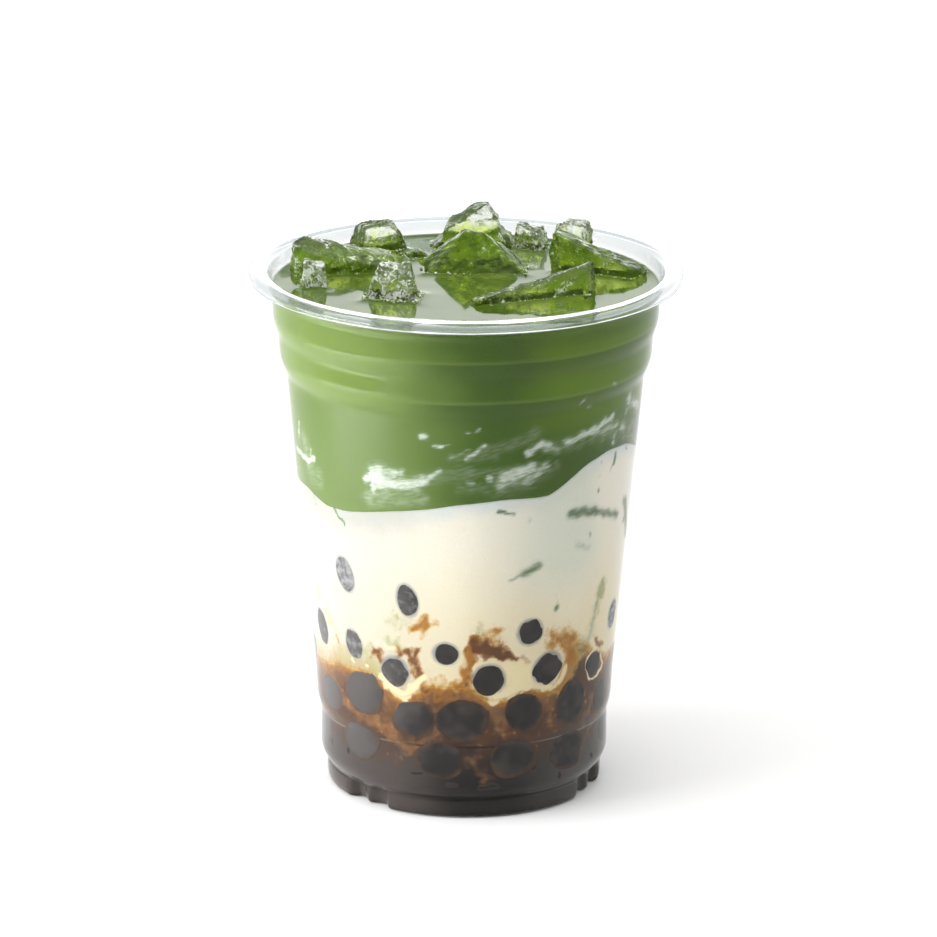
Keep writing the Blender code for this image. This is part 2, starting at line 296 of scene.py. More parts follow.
def push_recesses(points):
    """Moves the foot's side inwards at each recess, less at the rib in the recess's middle."""
    radius = np.hypot(points[..., 0], points[..., 1])
    angle = np.degrees(np.arctan2(points[..., 0], -points[..., 1]))
    share = np.zeros_like(radius)
    for centre in RECESS_CENTRES:
        away = np.abs((angle - centre + 180) % 360 - 180)
        inside = np.clip((RECESS_HALF_WIDTH + RECESS_BLEND / 2 - away) / RECESS_BLEND, 0, 1)
        rib = RIB_SHARE * np.exp(-((away / RIB_HALF_WIDTH) ** 2))
        share = np.maximum(share, inside ** 2 * (3 - 2 * inside) * (1 - rib))
    low_enough = np.clip((BEADS[0][0][1] + 0.0001 - points[..., 2]) / 0.0010, 0, 1)
    far_enough = np.clip((radius - FOOT_FLAT_INNER - 0.0008) / 0.0026, 0, 1)
    scale = 1 - RECESS_DEPTH * share * low_enough * far_enough / np.maximum(radius, 1e-6)
    points[..., 0] *= scale
    points[..., 1] *= scale
    return points


def grid_mesh(name, points, loops_down=False):
    """A closed mesh over rows of rings. The columns join round each ring; the first and last
    ring are closed by a fan to their middle, or joined to each other where it loops."""
    rows, columns = points.shape[:2]
    index = np.arange(rows * columns).reshape(rows, columns)
    low, high = (index, np.roll(index, -1, axis=0)) if loops_down else (index[:-1], index[1:])
    quads = np.stack([low, np.roll(low, -1, axis=1), np.roll(high, -1, axis=1), high], axis=-1)
    corners = [quads.reshape(-1, 4)]
    vertices = points.reshape(-1, 3)
    if not loops_down:
        vertices = np.concatenate([vertices, [points[0].mean(axis=0), points[-1].mean(axis=0)]])
        first, last = len(vertices) - 2, len(vertices) - 1
        turn, back = np.roll(index, -1, axis=1), np.full(columns, 0)
        corners.append(np.stack([turn[0], index[0], back + first], axis=-1))
        corners.append(np.stack([index[-1], turn[-1], back + last], axis=-1))
    sizes = np.concatenate([np.full(len(part), part.shape[1]) for part in corners])
    mesh = bpy.data.meshes.new(name)
    mesh.vertices.add(len(vertices))
    mesh.vertices.foreach_set("co", vertices.ravel().astype(np.float32))
    mesh.loops.add(int(sizes.sum()))
    joined = np.concatenate([part.ravel() for part in corners])
    mesh.loops.foreach_set("vertex_index", joined.astype(np.int32))
    mesh.polygons.add(len(sizes))
    mesh.polygons.foreach_set("loop_start", (np.cumsum(sizes) - sizes).astype(np.int32))
    mesh.polygons.foreach_set("use_smooth", np.ones(len(sizes), dtype=bool))
    mesh.update()
    mesh.validate()
    return mesh


def place_piece(name, mesh, *materials):
    """An object of this mesh at the origin, with its materials, riding on the cup."""
    piece = bpy.data.objects.new(name, mesh)
    bpy.context.scene.collection.objects.link(piece)
    for material in materials:
        mesh.materials.append(material)
    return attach(piece, "root")


def finish_of(name, constants):
    """A material, its node tree as a Field, and its Principled shader with these constants."""
    material = bpy.data.materials.new(name)
    material.use_nodes = True
    shader = material.node_tree.nodes["Principled BSDF"]
    for socket, value in constants.items():
        shader.inputs[socket].default_value = (*value, 1.0) if isinstance(value, tuple) else value
    return material, Field(material.node_tree), shader


underside = cut_corners(np.array([(0.0003, FLOOR_UNDERSIDE + FLOOR_CROWN),
                                  (FLOOR_RADIUS / 2, FLOOR_UNDERSIDE + FLOOR_CROWN / 2),
                                  (FLOOR_RADIUS, FLOOR_UNDERSIDE),
                                  (FOOT_FLAT_INNER, 0.0),
                                  (FOOT_RADIUS - FOOT_EDGE, 0.0),
                                  (FOOT_RADIUS, FOOT_EDGE),
                                  (FOOT_RADIUS, FOOT_SIDE_TOP),
                                  BEADS[0][0]]))
rising = np.arange(BEADS[0][0][1] + CUP_ROWS_STEP, CUP_TOP - ROLL_HALF_HEIGHT, CUP_ROWS_STEP)
outside = np.stack([outer_radius(rising), rising], axis=1)
cup_line = np.concatenate([underside, outside, roll_line(WALL)[::-1], roll_line(0.0),
                           inside_line(WALL)[1:]])
cup_mesh = grid_mesh("cup", push_recesses(turned(cup_line, CUP_COLUMNS)))
plastic, paint, shader = finish_of("clear plastic", {"Roughness": 0.03, "IOR": 1.36,
                                                     "Transmission Weight": 1.0})
place = paint.node("ShaderNodeTexCoord", output="Object")
height = paint.node("ShaderNodeSeparateXYZ", {0: place}, output="Z")
# Painted shade: the roll's grey tint darkens the rim
edge = height.rise(CUP_TOP - 2.4 * ROLL_HALF_HEIGHT, CUP_TOP - 1.6 * ROLL_HALF_HEIGHT)
paint.feed(shader.inputs["Base Color"], edge.blend(WALL_TINT, ROLL_SHADE_TINT))
cup = place_piece("clear_cup", cup_mesh, plastic)
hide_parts("cup")

# Drink
# Opaque green matcha floats on milk, and the milk on dark brown sugar syrup. Each layer is one
# closed piece that reaches just into the wall, so that no air shows between them.
REACH = 0.00012
LEVEL = 0.1167
DRINK_COLUMNS = 448
# The two boundaries at the wall: angle and height in mm, the far side being a guess
MATCHA_LINE = ((-88, 72.6), (-68, 73.2), (-55, 71.2), (-44, 71.5), (-27, 73.6), (-12, 75.2), (-3, 76.4),
               (13, 77.5), (29, 77.2), (35, 79.4), (44, 83.0), (55, 84.7), (67, 84.2), (88, 79.4),
               (110, 76.5), (140, 78.5), (165, 80.0), (190, 77.0), (225, 72.5), (250, 71.6))
SYRUP_LINE = ((-88, 31.5), (-70, 31.1), (-58, 32.7), (-44, 33.7), (-37, 33.5), (-33, 31.7), (-28, 29.6),
              (-23, 28.2), (-18, 30.7), (-14, 32.9), (-8, 32.1), (1, 32.9), (4, 31.4), (8, 29.6),
              (10, 28.5), (15, 29.1), (20, 30.0), (26, 30.7), (32, 29.7), (35, 29.4), (38, 30.3),
              (40, 33.6), (42, 37.6), (45, 40.6), (49, 39.5), (55, 36.7), (62, 34.9), (69, 32.7),
              (89, 33.4), (115, 33.0), (140, 29.5), (152, 34.5), (165, 32.5), (190, 29.0), (205, 34.0),
              (215, 33.6), (245, 30.0))
LINE_ROUNDING = 2.4


def line_height(angle, line, rounding=LINE_ROUNDING):
    """Height of a boundary round the cup: straight lines between its points, then averaged."""
    around, heights = np.array(line, dtype=float).T
    steps = np.arange(-180, 180, 0.25)
    raw = np.interp(steps, around, heights, period=360)
    away = np.arange(-8, 8.25, 0.25)
    weights = np.exp(-((away / rounding) ** 2))
    smooth = np.convolve(np.pad(raw, len(away) // 2, mode="wrap"), weights / weights.sum(), mode="valid")
    return np.interp(angle, steps, smooth, period=360) / 1000


def matcha_line(angle):
    return line_height(angle, MATCHA_LINE)


def syrup_line(angle):
    return line_height(angle, SYRUP_LINE, 4.0)


def side_points(low, high, rows):
    """The drink's side against the wall: each column runs evenly from low to high."""
    share = np.linspace(0, 1, rows)[:, None]
    angle = np.linspace(-180, 180, DRINK_COLUMNS, endpoint=False)
    height = low(angle) + (high(angle) - low(angle)) * share
    radius = outer_radius(height) - WALL + REACH
    turn = np.radians(angle)
    return np.stack([radius * np.sin(turn), -radius * np.cos(turn), height], axis=-1)


def cap_points(ring, rings):
    """Rings that shrink evenly from this one to near the axis, and flatten to its mean height."""
    share = np.linspace(1, 0.004, rings)[1:, None, None]
    centre = np.array([0.0, 0.0, ring[:, 2].mean()])
    away = ring[None] - centre
    return centre + away * np.concatenate([share, share, share ** 2], axis=-1)


def places_on_wall(points):
    """Angle in degrees and height in mm of points."""
    return np.degrees(np.arctan2(points[..., 0], -points[..., 1])), points[..., 2] * 1000


# Pearls at the wall
# Cooked tapioca pearls, soft and dark brown, press flat against the plastic. Most lie in the
# syrup and some hang in the milk; those on the far side are a guess.
# Angle, height, half-width and half-height in mm, lean in degrees, and how milky the pearl looks
FRONT_PEARLS = (
    (-47.6, 55.9, 2.7, 4.1, 18, 0.72), (-20.8, 52.7, 2.5, 3.7, 12, 0.38), (-66.5, 40.3, 2.6, 3.9, 16, 0.30),
    (-45.5, 39.4, 2.5, 3.3, 14, 0.45), (-26.8, 35.1, 3.3, 3.4, 20, 0.30), (-6.9, 40.5, 2.8, 2.5, 0, 0.02),
    (-42.4, 28.0, 6.1, 5.2, 20, 0.10), (-63.5, 25.0, 4.9, 4.3, 14, 0.10), (-19.8, 24.1, 5.5, 4.6, 0, 0.06),
    (-1.1, 24.3, 6.2, 5.1, 0, 0.02), (23.6, 25.4, 4.7, 4.7, 10, 0.02), (46.1, 25.5, 5.0, 5.4, -20, 0.05),
    (66.1, 23.7, 3.7, 4.0, 0, 0.15), (24.7, 44.9, 3.0, 3.0, -12, 0.02), (33.0, 35.2, 3.7, 4.0, -18, 0.06),
    (9.2, 33.9, 3.7, 3.8, -10, 0.04), (58.2, 32.8, 2.9, 3.1, -14, 0.15), (71.6, 42.6, 2.5, 3.2, -8, 0.60),
    (-46.0, 16.0, 5.8, 4.9, 0, 0.12), (-9.5, 14.3, 5.8, 4.6, 0, 0.05), (20.1, 14.5, 5.8, 4.6, 0, 0.04),
    (-75.0, 15.0, 4.4, 4.0, 0, 0.12), (46.0, 13.5, 5.4, 4.6, 0, 0.05), (76.0, 14.5, 4.2, 4.0, 0, 0.10),
    (-82.0, 33.0, 3.0, 3.4, 0, 0.20), (84.0, 30.5, 3.2, 3.6, 0, 0.15))
PEARL_DEPTH = 0.0040
PEARL_SET_BACK = 0.35
PEARL_PROUD = 0.00006
PEARL_ROWS, PEARL_COLUMNS = 22, 32
PEARL_UNEVENNESS = 0.09
FAR_JITTER = (5.0, 2.5)

chance = np.random.default_rng(7)
far_pearls = []
for angle, height, half_width, half_height, lean, milky in FRONT_PEARLS:
    if abs(angle) < 78:
        shift = chance.uniform(-1, 1, 2) * FAR_JITTER
        far_pearls.append((180 - angle + shift[0], max(height + shift[1], 13.5), half_width, half_height,
                           -lean, milky))
PEARLS = np.array(FRONT_PEARLS + tuple(far_pearls))


def pearl_offsets(angle, height, pearl):
    """How far a place lies from a pearl's middle, across and up in the pearl's own half-sizes."""
    middle, level, half_width, half_height, lean, _ = pearl
    across = np.radians((angle - middle + 180) % 360 - 180) * outer_radius(height / 1000) * 1000
    up = height - level
    turn = math.radians(lean)
    return ((across * math.cos(turn) + up * math.sin(turn)) / half_width,
            (up * math.cos(turn) - across * math.sin(turn)) / half_height)


def pearl_distance(angle, height):
    """Distance in mm to the nearest pearl's outline at the wall, taking its mean half-size."""
    nearest = np.full_like(height, 20.0)
    for pearl in PEARLS:
        across, up = pearl_offsets(angle, height, pearl)
        nearest = np.minimum(nearest, (np.hypot(across, up) - 1) * (pearl[2] + pearl[3]) / 2)
    return nearest


def pearl_points(pearl, seed):
    """A soft ball: an ellipsoid of slightly uneven radius, cut off where it meets the wall."""
    middle, level, half_width, half_height, lean, _ = pearl
    dip = np.linspace(0.04, math.pi - 0.04, PEARL_ROWS)[:, None]
    turn = np.linspace(0, 2 * math.pi, PEARL_COLUMNS, endpoint=False)[None]
    uneven = np.random.default_rng(seed).normal(0, 1, (3, 3))
    x, y, z = np.sin(dip) * np.cos(turn), np.sin(dip) * np.sin(turn), np.cos(dip) + 0 * turn
    waves = sum(np.sin(3.1 * (x * a + y * b + z * c) + index) for index, (a, b, c) in enumerate(uneven))
    radius = (1 + PEARL_UNEVENNESS / 2 * waves) / math.sqrt(1 - PEARL_SET_BACK ** 2) / 1000
    tilt = math.radians(lean)
    across = radius * (x * half_width * math.cos(tilt) - z * half_height * math.sin(tilt))
    up = radius * (x * half_width * math.sin(tilt) + z * half_height * math.cos(tilt))
    wall = outer_radius(level / 1000 + up) - WALL + REACH + PEARL_PROUD
    outward = (outer_radius(level / 1000) - WALL + REACH
               + PEARL_DEPTH * (-y * radius * 1000 * math.sqrt(1 - PEARL_SET_BACK ** 2) - PEARL_SET_BACK))
    outward = np.minimum(outward, wall)
    around = math.radians(middle) + across / wall
    return np.stack([outward * np.sin(around), -outward * np.cos(around), level / 1000 + up], axis=-1)


def set_attribute(mesh, name, values):
    attribute = mesh.attributes.new(name, "FLOAT", "POINT")
    attribute.data.foreach_set("value", np.ravel(values).astype(np.float32))


def join_meshes(name, meshes):
    """One mesh of several, their vertices and faces kept."""
    joined = bmesh.new()
    for mesh in meshes:
        joined.from_mesh(mesh)
        bpy.data.meshes.remove(mesh)
    whole = bpy.data.meshes.new(name)
    joined.to_mesh(whole)
    joined.free()
    return whole


pearl_meshes = []
for seed, pearl in enumerate(PEARLS):
    mesh = grid_mesh("pearl", pearl_points(pearl, seed)[::-1])
    points = np.empty(len(mesh.vertices) * 3)
    mesh.vertices.foreach_get("co", points)
    angle, height = places_on_wall(points.reshape(-1, 3))
    set_attribute(mesh, "edge", np.hypot(*pearl_offsets(angle, height, pearl)))
    set_attribute(mesh, "milky", np.full(len(mesh.vertices), pearl[5]))
    pearl_meshes.append(mesh)
pearl_mesh = join_meshes("pearls", pearl_meshes)

PEARL_DARK, PEARL_GREY, PEARL_FILM = (0.016, 0.013, 0.012), (0.050, 0.041, 0.038), (0.34, 0.34, 0.35)
# Painted light: a paler copy of the pearls for the left
PEARL_LIT_LEFT = (0.115, 0.106, 0.102)
PEARL_SYRUP = (0.095, 0.048, 0.022)
tapioca, paint, shader = finish_of("cooked tapioca", {"Roughness": 0.5, "Specular IOR Level": 0.0})
place = paint.node("ShaderNodeTexCoord", output="Object")
streaks = paint.node("ShaderNodeTexNoise", {"Vector": place, "Scale": 560.0, "Detail": 5.0,
                                            "Roughness": 0.7})
blotches = paint.node("ShaderNodeTexNoise", {"Vector": place, "Scale": 170.0, "Detail": 3.0})
edge = paint.node("ShaderNodeAttribute", output="Fac", attribute_name="edge")
milky = paint.node("ShaderNodeAttribute", output="Fac", attribute_name="milky")
height = paint.node("ShaderNodeSeparateXYZ", {0: place}, output="Z") * 1000.0
colour = (blotches + (streaks - 0.5) * 0.6).rise(0.34, 0.68).blend(PEARL_DARK, PEARL_GREY)
# Painted light: the pearls turn paler towards -X
across = paint.node("ShaderNodeSeparateXYZ", {0: place}, output="X") * 1000.0
colour = ((across * -1.0 + (blotches - 0.5) * 14.0).rise(4.0, 24.0) * 0.8).blend(colour, PEARL_LIT_LEFT)
soaked = (edge + (streaks - 0.5) * 0.8).rise(0.72, 1.08) * (1.0 - height.rise(27.0, 36.0))
colour = (soaked * 0.85).blend(colour, PEARL_SYRUP)
film = ((edge + (streaks - 0.5) * 0.7).rise(0.92, 1.25) * milky * 0.8
        + ((streaks - 0.5) * 2.4 + milky).rise(0.30, 1.05) * milky.rise(0.05, 0.6))
paint.feed(shader.inputs["Base Color"], film.maths("MINIMUM", 1.0).blend(colour, PEARL_FILM))
pearls = place_piece("pearls", pearl_mesh, tapioca)
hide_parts("tapioca_pearls")


# Layers of the drink
# Matcha, milk and syrup meet along wavy lines. Where they touch, milk is drawn up into the
# matcha in feathery strokes, and syrup marbles the lowest milk.
# Many tints are painted light and shade of one setting: most are paler towards -X, where the window stands
# Lit and shaded copies of the matcha, painted light: paler at the left and upper left, brighter at the upper
# right, darker elsewhere
MATCHA_SHADED_RIGHT, MATCHA_LIT_LEFT = (0.056, 0.122, 0.002), (0.130, 0.208, 0.034)
MATCHA_LIT_RIGHT = (0.135, 0.245, 0.006)
MATCHA_PAINTED_LIGHT, MATCHA_PAINTED_SHADE = (0.180, 0.265, 0.055), (0.040, 0.090, 0.002)
MATCHA_MILKY, MILK_SMEAR = (0.34, 0.42, 0.27), (0.72, 0.78, 0.70)
MILK_TOP_FILM, MILK_HIGH, MILK_LOW = (0.72, 0.76, 0.75), (0.90, 0.86, 0.74), (0.86, 0.77, 0.54)
MILK_CREAM, MILK_GREYED, MILK_BLUSH = (0.90, 0.79, 0.50), (0.76, 0.79, 0.67), (0.92, 0.82, 0.61)
# Painted shade: darker milk and film towards the left
MILK_FILM_AND_SHADE_LEFT, MILK_SHADED_LEFT = (0.38, 0.42, 0.43), (0.52, 0.505, 0.44)
GREEN_WISP, GREEN_SHADE, OLIVE_TINT = (0.075, 0.145, 0.035), (0.46, 0.52, 0.42), (0.42, 0.42, 0.17)
# Painted light: the dark base is paler at the left and at the right
SYRUP_BASE, SYRUP_BASE_LIT_LEFT = (0.010, 0.008, 0.006), (0.080, 0.064, 0.058)
SYRUP_BASE_LIT_RIGHT = (0.095, 0.088, 0.078)
SYRUP_DARK, SYRUP_BROWN = (0.080, 0.036, 0.017), (0.120, 0.044, 0.013)
SYRUP_MILKY, SYRUP_ORANGE, SYRUP_OCHRE = (0.29, 0.140, 0.052), (0.40, 0.165, 0.020), (0.60, 0.36, 0.085)
SYRUP_SPECK, SYRUP_STAIN = (0.50, 0.30, 0.12), (0.42, 0.32, 0.15)
PEARL_SHADE = (0.25, 0.265, 0.28)
# Painted shade and painted highlights for the lowest creases; the same shade darkens the marks in the base
PAINTED_SHADE_DARK, CREASE_HIGHLIGHT = (0.006, 0.004, 0.003), (0.60, 0.60, 0.58)
# Heights in mm of the two lines across the upper beads: a painted highlight above and painted shade below.
# They are painted, and lie 3 to 4 mm above the creases that the cup has here
BEAD_SHADE_LINES = (100.5, 110.1)
GRAIN_SIZE = 0.045

# Marks in the drink against the wall, as strokes of a brush: strength, half-width in mm, and
# the stroke's points by angle and height in mm
# White milk drawn up into the matcha
SMEARS = (
    (0.7, 0.5, ((-71.1, 87.6), (-73.0, 84.5))),
    (1, 0.45, ((-77.2, 80.7), (-70.0, 80.2), (-65.8, 79.9), (-60.6, 81.2))),
    (0.8, 0.3, ((-62.5, 83.3), (-63.3, 82.0))),
    (0.6, 0.3, ((-72.6, 83.0), (-72.8, 81.3))),
    (1, 0.5, ((-32.4, 83.3), (-32.0, 78.2))),
    (1, 0.7, ((-34.1, 80.7), (-33.6, 80.8))),
    (1, 1.1, ((-29.8, 83.1), (-29.9, 81.2))),
    (0.7, 0.8, ((-28.1, 83.0), (-21.9, 83.3))),
    (0.95, 0.9, ((-29.2, 80.1), (-24.1, 80.5), (-18.0, 80.7), (-14.1, 81.9))),
    (0.9, 0.35, ((-14.1, 81.9), (-8.0, 84.4))),
    (0.8, 0.5, ((-24.1, 79.8), (-18.5, 79.7))),
    (1, 0.5, ((-14.0, 92.4), (-12.9, 92.4))),
    (0.95, 0.3, ((-10.0, 90.5), (-7.1, 90.3))),
    (0.5, 0.2, ((-7.1, 90.4), (-4.8, 90.7))),
    (0.55, 0.25, ((-4.6, 87.6), (1.3, 89.5))),
    (0.6, 0.5, ((0.7, 87.5), (1.6, 87.8))),
    (0.85, 0.35, ((0.3, 87.4), (3.4, 89.1), (6.3, 90.5))),
    (1, 0.5, ((20.3, 88.1), (23.8, 89.3), (25.8, 90.2))),
    (0.85, 0.6, ((25.8, 90.1), (28.3, 89.6))),
    (0.6, 0.6, ((26.4, 89.0), (30.9, 87.9))),
    (0.7, 0.4, ((33.5, 90.0), (37.3, 90.2))),
    (1, 0.5, ((34.9, 89.3), (41.8, 90.4), (48.4, 91.2), (51.3, 91.9), (55.5, 92.6))),
    (0.75, 0.5, ((44.6, 90.0), (51.1, 89.9), (58.7, 90.0))),
    (0.7, 0.45, ((57.8, 87.6), (57.6, 85.9))),
    (1, 0.8, ((65.7, 95.6), (66.6, 94.4))),
    (0.95, 0.7, ((69.9, 93.3), (76.6, 91.6))),
    (0.7, 0.5, ((65.2, 92.7), (64.6, 91.8))),
    (0.8, 0.6, ((62.3, 89.1), (63.4, 88.3))),
    (0.9, 0.8, ((13.0, 83.0), (17.4, 83.7), (22.4, 84.6))),
    (0.75, 0.7, ((11.5, 80.8), (16.3, 82.3))),
    (0.7, 0.8, ((20.9, 81.7), (24.2, 83.2), (27.4, 84.6))),
    (0.5, 0.4, ((31.2, 85.1), (31.8, 84.3))),
    (0.9, 0.4, ((7.8, 82.7), (8.5, 82.6))),
    (0.6, 0.25, ((38.9, 97.9), (40.4, 99.2))),
    (0.7, 0.3, ((42.5, 96.7), (43.6, 96.5))),
    (0.6, 0.2, ((0.6, 93.7), (1.8, 93.7))),
    (0.6, 0.25, ((3.3, 93.8), (4.6, 94.4))),
    (0.6, 0.4, ((0.7, 81.6), (2.7, 81.6))),
    (0.7, 0.3, ((52.1, 101.1), (53.2, 100.7))),
)
# The same milk, thinner and under the surface
HAZES = (
    (0.55, 1.6, ((-67.2, 84.6), (-64.8, 80.1), (-62.4, 76.2))),
    (0.5, 1.2, ((-58.5, 78.6), (-58.4, 75.8))),
    (0.75, 1.6, ((-30.8, 82.2), (-24.0, 82.0))),
    (0.6, 1.3, ((-34.0, 76.6), (-24.2, 77.9), (-16.1, 79.1))),
    (0.6, 0.9, ((-33.2, 74.9), (-16.2, 76.9), (-13.1, 77.6))),
    (0.45, 1.5, ((-14.1, 81.4), (-8.4, 83.3), (1.3, 84.0))),
    (0.4, 0.8, ((-4.6, 87.5), (1.6, 88.4))),
    (0.45, 1.0, ((6.5, 89.3), (13.9, 90.2), (20.3, 91.6), (23.5, 93.0))),
    (0.4, 0.7, ((0.7, 87.5), (10.0, 87.9))),
    (0.4, 0.8, ((-1.6, 84.2), (14.1, 84.4))),
    (0.5, 1.8, ((11.5, 80.8), (17.5, 81.9), (23.4, 83.0))),
    (0.4, 1.2, ((-1.6, 80.4), (10.3, 80.3))),
    (0.5, 1.2, ((29.0, 88.8), (38.4, 88.9), (48.6, 89.7))),
    (0.55, 2.0, ((50.5, 89.7), (61.5, 88.7), (75.4, 85.4))),
    (0.55, 1.6, ((65.9, 95.0), (74.9, 91.5))),
    (0.35, 1.0, ((22.7, 80.7), (31.3, 83.9))),
)
# Wisps of matcha and specks of leaf in the milk
BITS = (
    (1, 0.35, ((59.4, 83.1), (59.2, 80.7))),
    (0.6, 0.35, ((58.8, 80.8), (57.4, 79.6))),
    (0.6, 0.25, ((51.9, 82.4), (51.9, 82.0))),
    (0.5, 0.25, ((51.2, 79.5), (50.9, 79.2))),
    (0.9, 0.3, ((51.2, 75.9), (51.4, 75.4))),
    (1, 0.25, ((10.7, 74.7), (13.8, 74.5))),
    (0.9, 0.25, ((13.8, 74.3), (16.7, 74.0))),
    (0.9, 0.8, ((38.8, 71.8), (42.9, 71.8), (51.0, 70.7))),
    (0.8, 0.7, ((51.0, 70.6), (60.5, 68.6), (65.7, 67.4))),
    (0.8, 0.5, ((75.6, 64.9), (73.2, 64.6))),
    (0.6, 0.2, ((40.8, 75.2), (40.9, 75.0))),
    (0.7, 0.3, ((67.4, 83.1), (68.3, 82.6))),
    (1, 0.22, ((-50.5, 71.2), (-47.3, 69.0), (-45.7, 67.8))),
    (0.7, 0.2, ((-70.5, 70.5), (-66.5, 69.8))),
    (0.8, 0.22, ((-63.3, 73.0), (-62.7, 70.0))),
    (0.6, 0.2, ((-61.5, 70.6), (-61.1, 69.7))),
    (0.5, 0.15, ((-71.8, 73.3), (-71.3, 73.1))),
    (0.5, 0.15, ((-31.4, 72.1), (-31.3, 72.0))),
    (0.8, 0.7, ((26.5, 60.8), (23.9, 60.0), (21.0, 59.3))),
    (0.7, 0.3, ((21.0, 59.1), (15.9, 57.9))),
    (0.9, 0.4, ((35.0, 50.0), (35.1, 49.5))),
    (0.5, 0.15, ((35.0, 50.2), (34.6, 53.4))),
    (0.6, 0.5, ((59.7, 53.0), (57.7, 50.2), (56.4, 47.3))),
    (0.55, 0.6, ((56.4, 47.3), (55.1, 42.2), (51.2, 37.3))),
    (0.7, 0.35, ((48.7, 65.9), (48.9, 65.2))),
    (0.9, 0.9, ((72.3, 69.5), (76.0, 65.5), (80.0, 60.5))),
    (0.5, 0.7, ((42.6, 63.9), (48.9, 62.3))),
    (0.5, 0.4, ((22.6, 72.4), (22.7, 71.9))),
    (0.4, 0.3, ((-0.3, 71.1), (-0.3, 70.6))),
)
# Syrup that rises into the milk: dark where it is thick and orange where it is thin
BROWN = (
    (1, 1.3, ((4.6, 42.4), (8.9, 41.6), (13.5, 40.2))),
    (1, 0.8, ((13.5, 40.2), (17.0, 39.1), (19.0, 38.6))),
    (0.5, 0.8, ((3.5, 38.7), (2.3, 35.0), (0.2, 32.0))),
    (0.75, 0.75, ((-19.8, 38.9), (-18.3, 37.3), (-17.6, 35.3), (-20.4, 34.9))),
    (0.8, 0.8, ((-34.8, 38.8), (-32.4, 38.1))),
    (0.75, 0.6, ((-25.4, 39.9), (-20.5, 39.6), (-17.3, 40.7))),
    (0.6, 0.5, ((-56.4, 39.6), (-54.3, 38.5))),
    (0.7, 0.6, ((59.6, 38.1), (63.4, 36.5))),
    (0.6, 0.5, ((22.2, 38.4), (23.1, 37.3))),
    (0.5, 0.35, ((16.5, 35.0), (16.6, 32.5))),
    (0.7, 0.8, ((-14.9, 31.8), (-10.7, 30.2), (-6.0, 30.1))),
)
ORANGE = (
    (1, 0.75, ((3.6, 43.9), (2.8, 41.2), (1.7, 37.5), (0.6, 34.2), (-1.9, 32.8))),
    (1, 0.8, ((-17.5, 45.9), (-15.1, 46.8), (-13.1, 47.5))),
    (0.7, 0.6, ((-15.8, 48.6), (-13.0, 48.3))),
    (0.5, 0.7, ((-9.8, 34.4), (-7.9, 34.1))),
    (0.7, 0.5, ((-4.9, 32.9), (-1.5, 33.7))),
    (0.85, 1.5, ((34.7, 41.9), (39.4, 41.9), (42.6, 40.4))),
    (0.85, 1.4, ((43.4, 38.5), (44.3, 36.4), (43.2, 33.6))),
    (0.6, 0.8, ((11.0, 46.2), (13.2, 45.9))),
    (0.6, 1.0, ((8.8, 45.0), (10.7, 43.5))),
    (0.5, 0.8, ((23.0, 33.3), (23.5, 32.8))),
    (0.8, 0.9, ((41.2, 32.8), (39.6, 30.3), (35.8, 29.0))),
)
# Matcha that sank to the syrup, milk round the lowest pearls, and milky syrup between them
OLIVE = (
    (0.6, 0.8, ((-61.7, 45.1), (-58.5, 42.7), (-55.9, 40.2), (-55.0, 36.9))),
    (0.5, 1.0, ((-55.2, 35.9), (-48.3, 35.8))),
    (0.6, 1.2, ((-39.4, 38.3), (-36.7, 37.2), (-35.0, 34.9))),
    (0.7, 0.6, ((-29.0, 42.3), (-25.2, 41.9), (-23.3, 40.9))),
    (0.7, 0.3, ((-27.1, 49.9), (-26.5, 50.0))),
    (0.8, 0.3, ((-25.0, 48.4), (-24.8, 47.8))),
    (0.7, 0.3, ((-23.1, 46.1), (-24.2, 45.3))),
    (0.35, 1.6, ((-26.9, 47.2), (-22.9, 46.4))),
    (0.5, 0.8, ((-68.4, 48.5), (-67.1, 47.8))),
    (0.8, 1.0, ((59.7, 51.7), (59.2, 49.6))),
    (0.55, 1.0, ((58.8, 48.4), (56.1, 45.4), (54.1, 42.8))),
    (0.5, 1.3, ((53.8, 41.4), (50.0, 39.0), (48.8, 36.5))),
    (0.5, 0.8, ((5.4, 46.6), (7.3, 45.1))),
    (0.6, 0.6, ((41.1, 40.1), (47.6, 36.7))),
)
CREAM = (
    (1, 0.9, ((-32.5, 32.7), (-29.9, 31.3), (-26.1, 29.9), (-23.2, 28.9), (-19.3, 31.7),
        (-16.0, 34.0))),
    (1, 0.45, ((41.9, 35.0), (40.3, 32.2), (36.6, 30.4), (31.9, 30.4))),
    (0.95, 0.3, ((58.2, 36.4), (54.4, 35.1), (53.3, 32.8), (56.5, 29.4), (62.5, 29.2), (66.3, 31.5),
        (64.2, 34.3))),
    (0.85, 0.55, ((4.3, 36.8), (5.8, 38.2), (9.4, 38.8), (12.8, 38.2), (14.8, 37.4))),
    (1, 1.7, ((17.2, 36.2), (18.5, 33.7), (21.5, 32.2), (23.3, 34.5), (21.2, 36.5))),
    (1, 0.7, ((10.5, 28.8), (15.2, 29.9), (19.9, 30.8), (25.7, 31.5))),
    (0.8, 0.5, ((-30.4, 40.7), (-26.2, 40.4))),
    (0.8, 0.35, ((-36.2, 41.5), (-32.9, 42.1))),
    (0.8, 0.5, ((-58.8, 38.7), (-56.4, 38.1))),
    (0.7, 0.4, ((38.4, 38.2), (40.0, 37.5))),
    (0.8, 0.4, ((-47.2, 35.4), (-46.4, 35.2))),
    (0.8, 0.45, ((-39.6, 35.1), (-38.9, 34.9))),
)
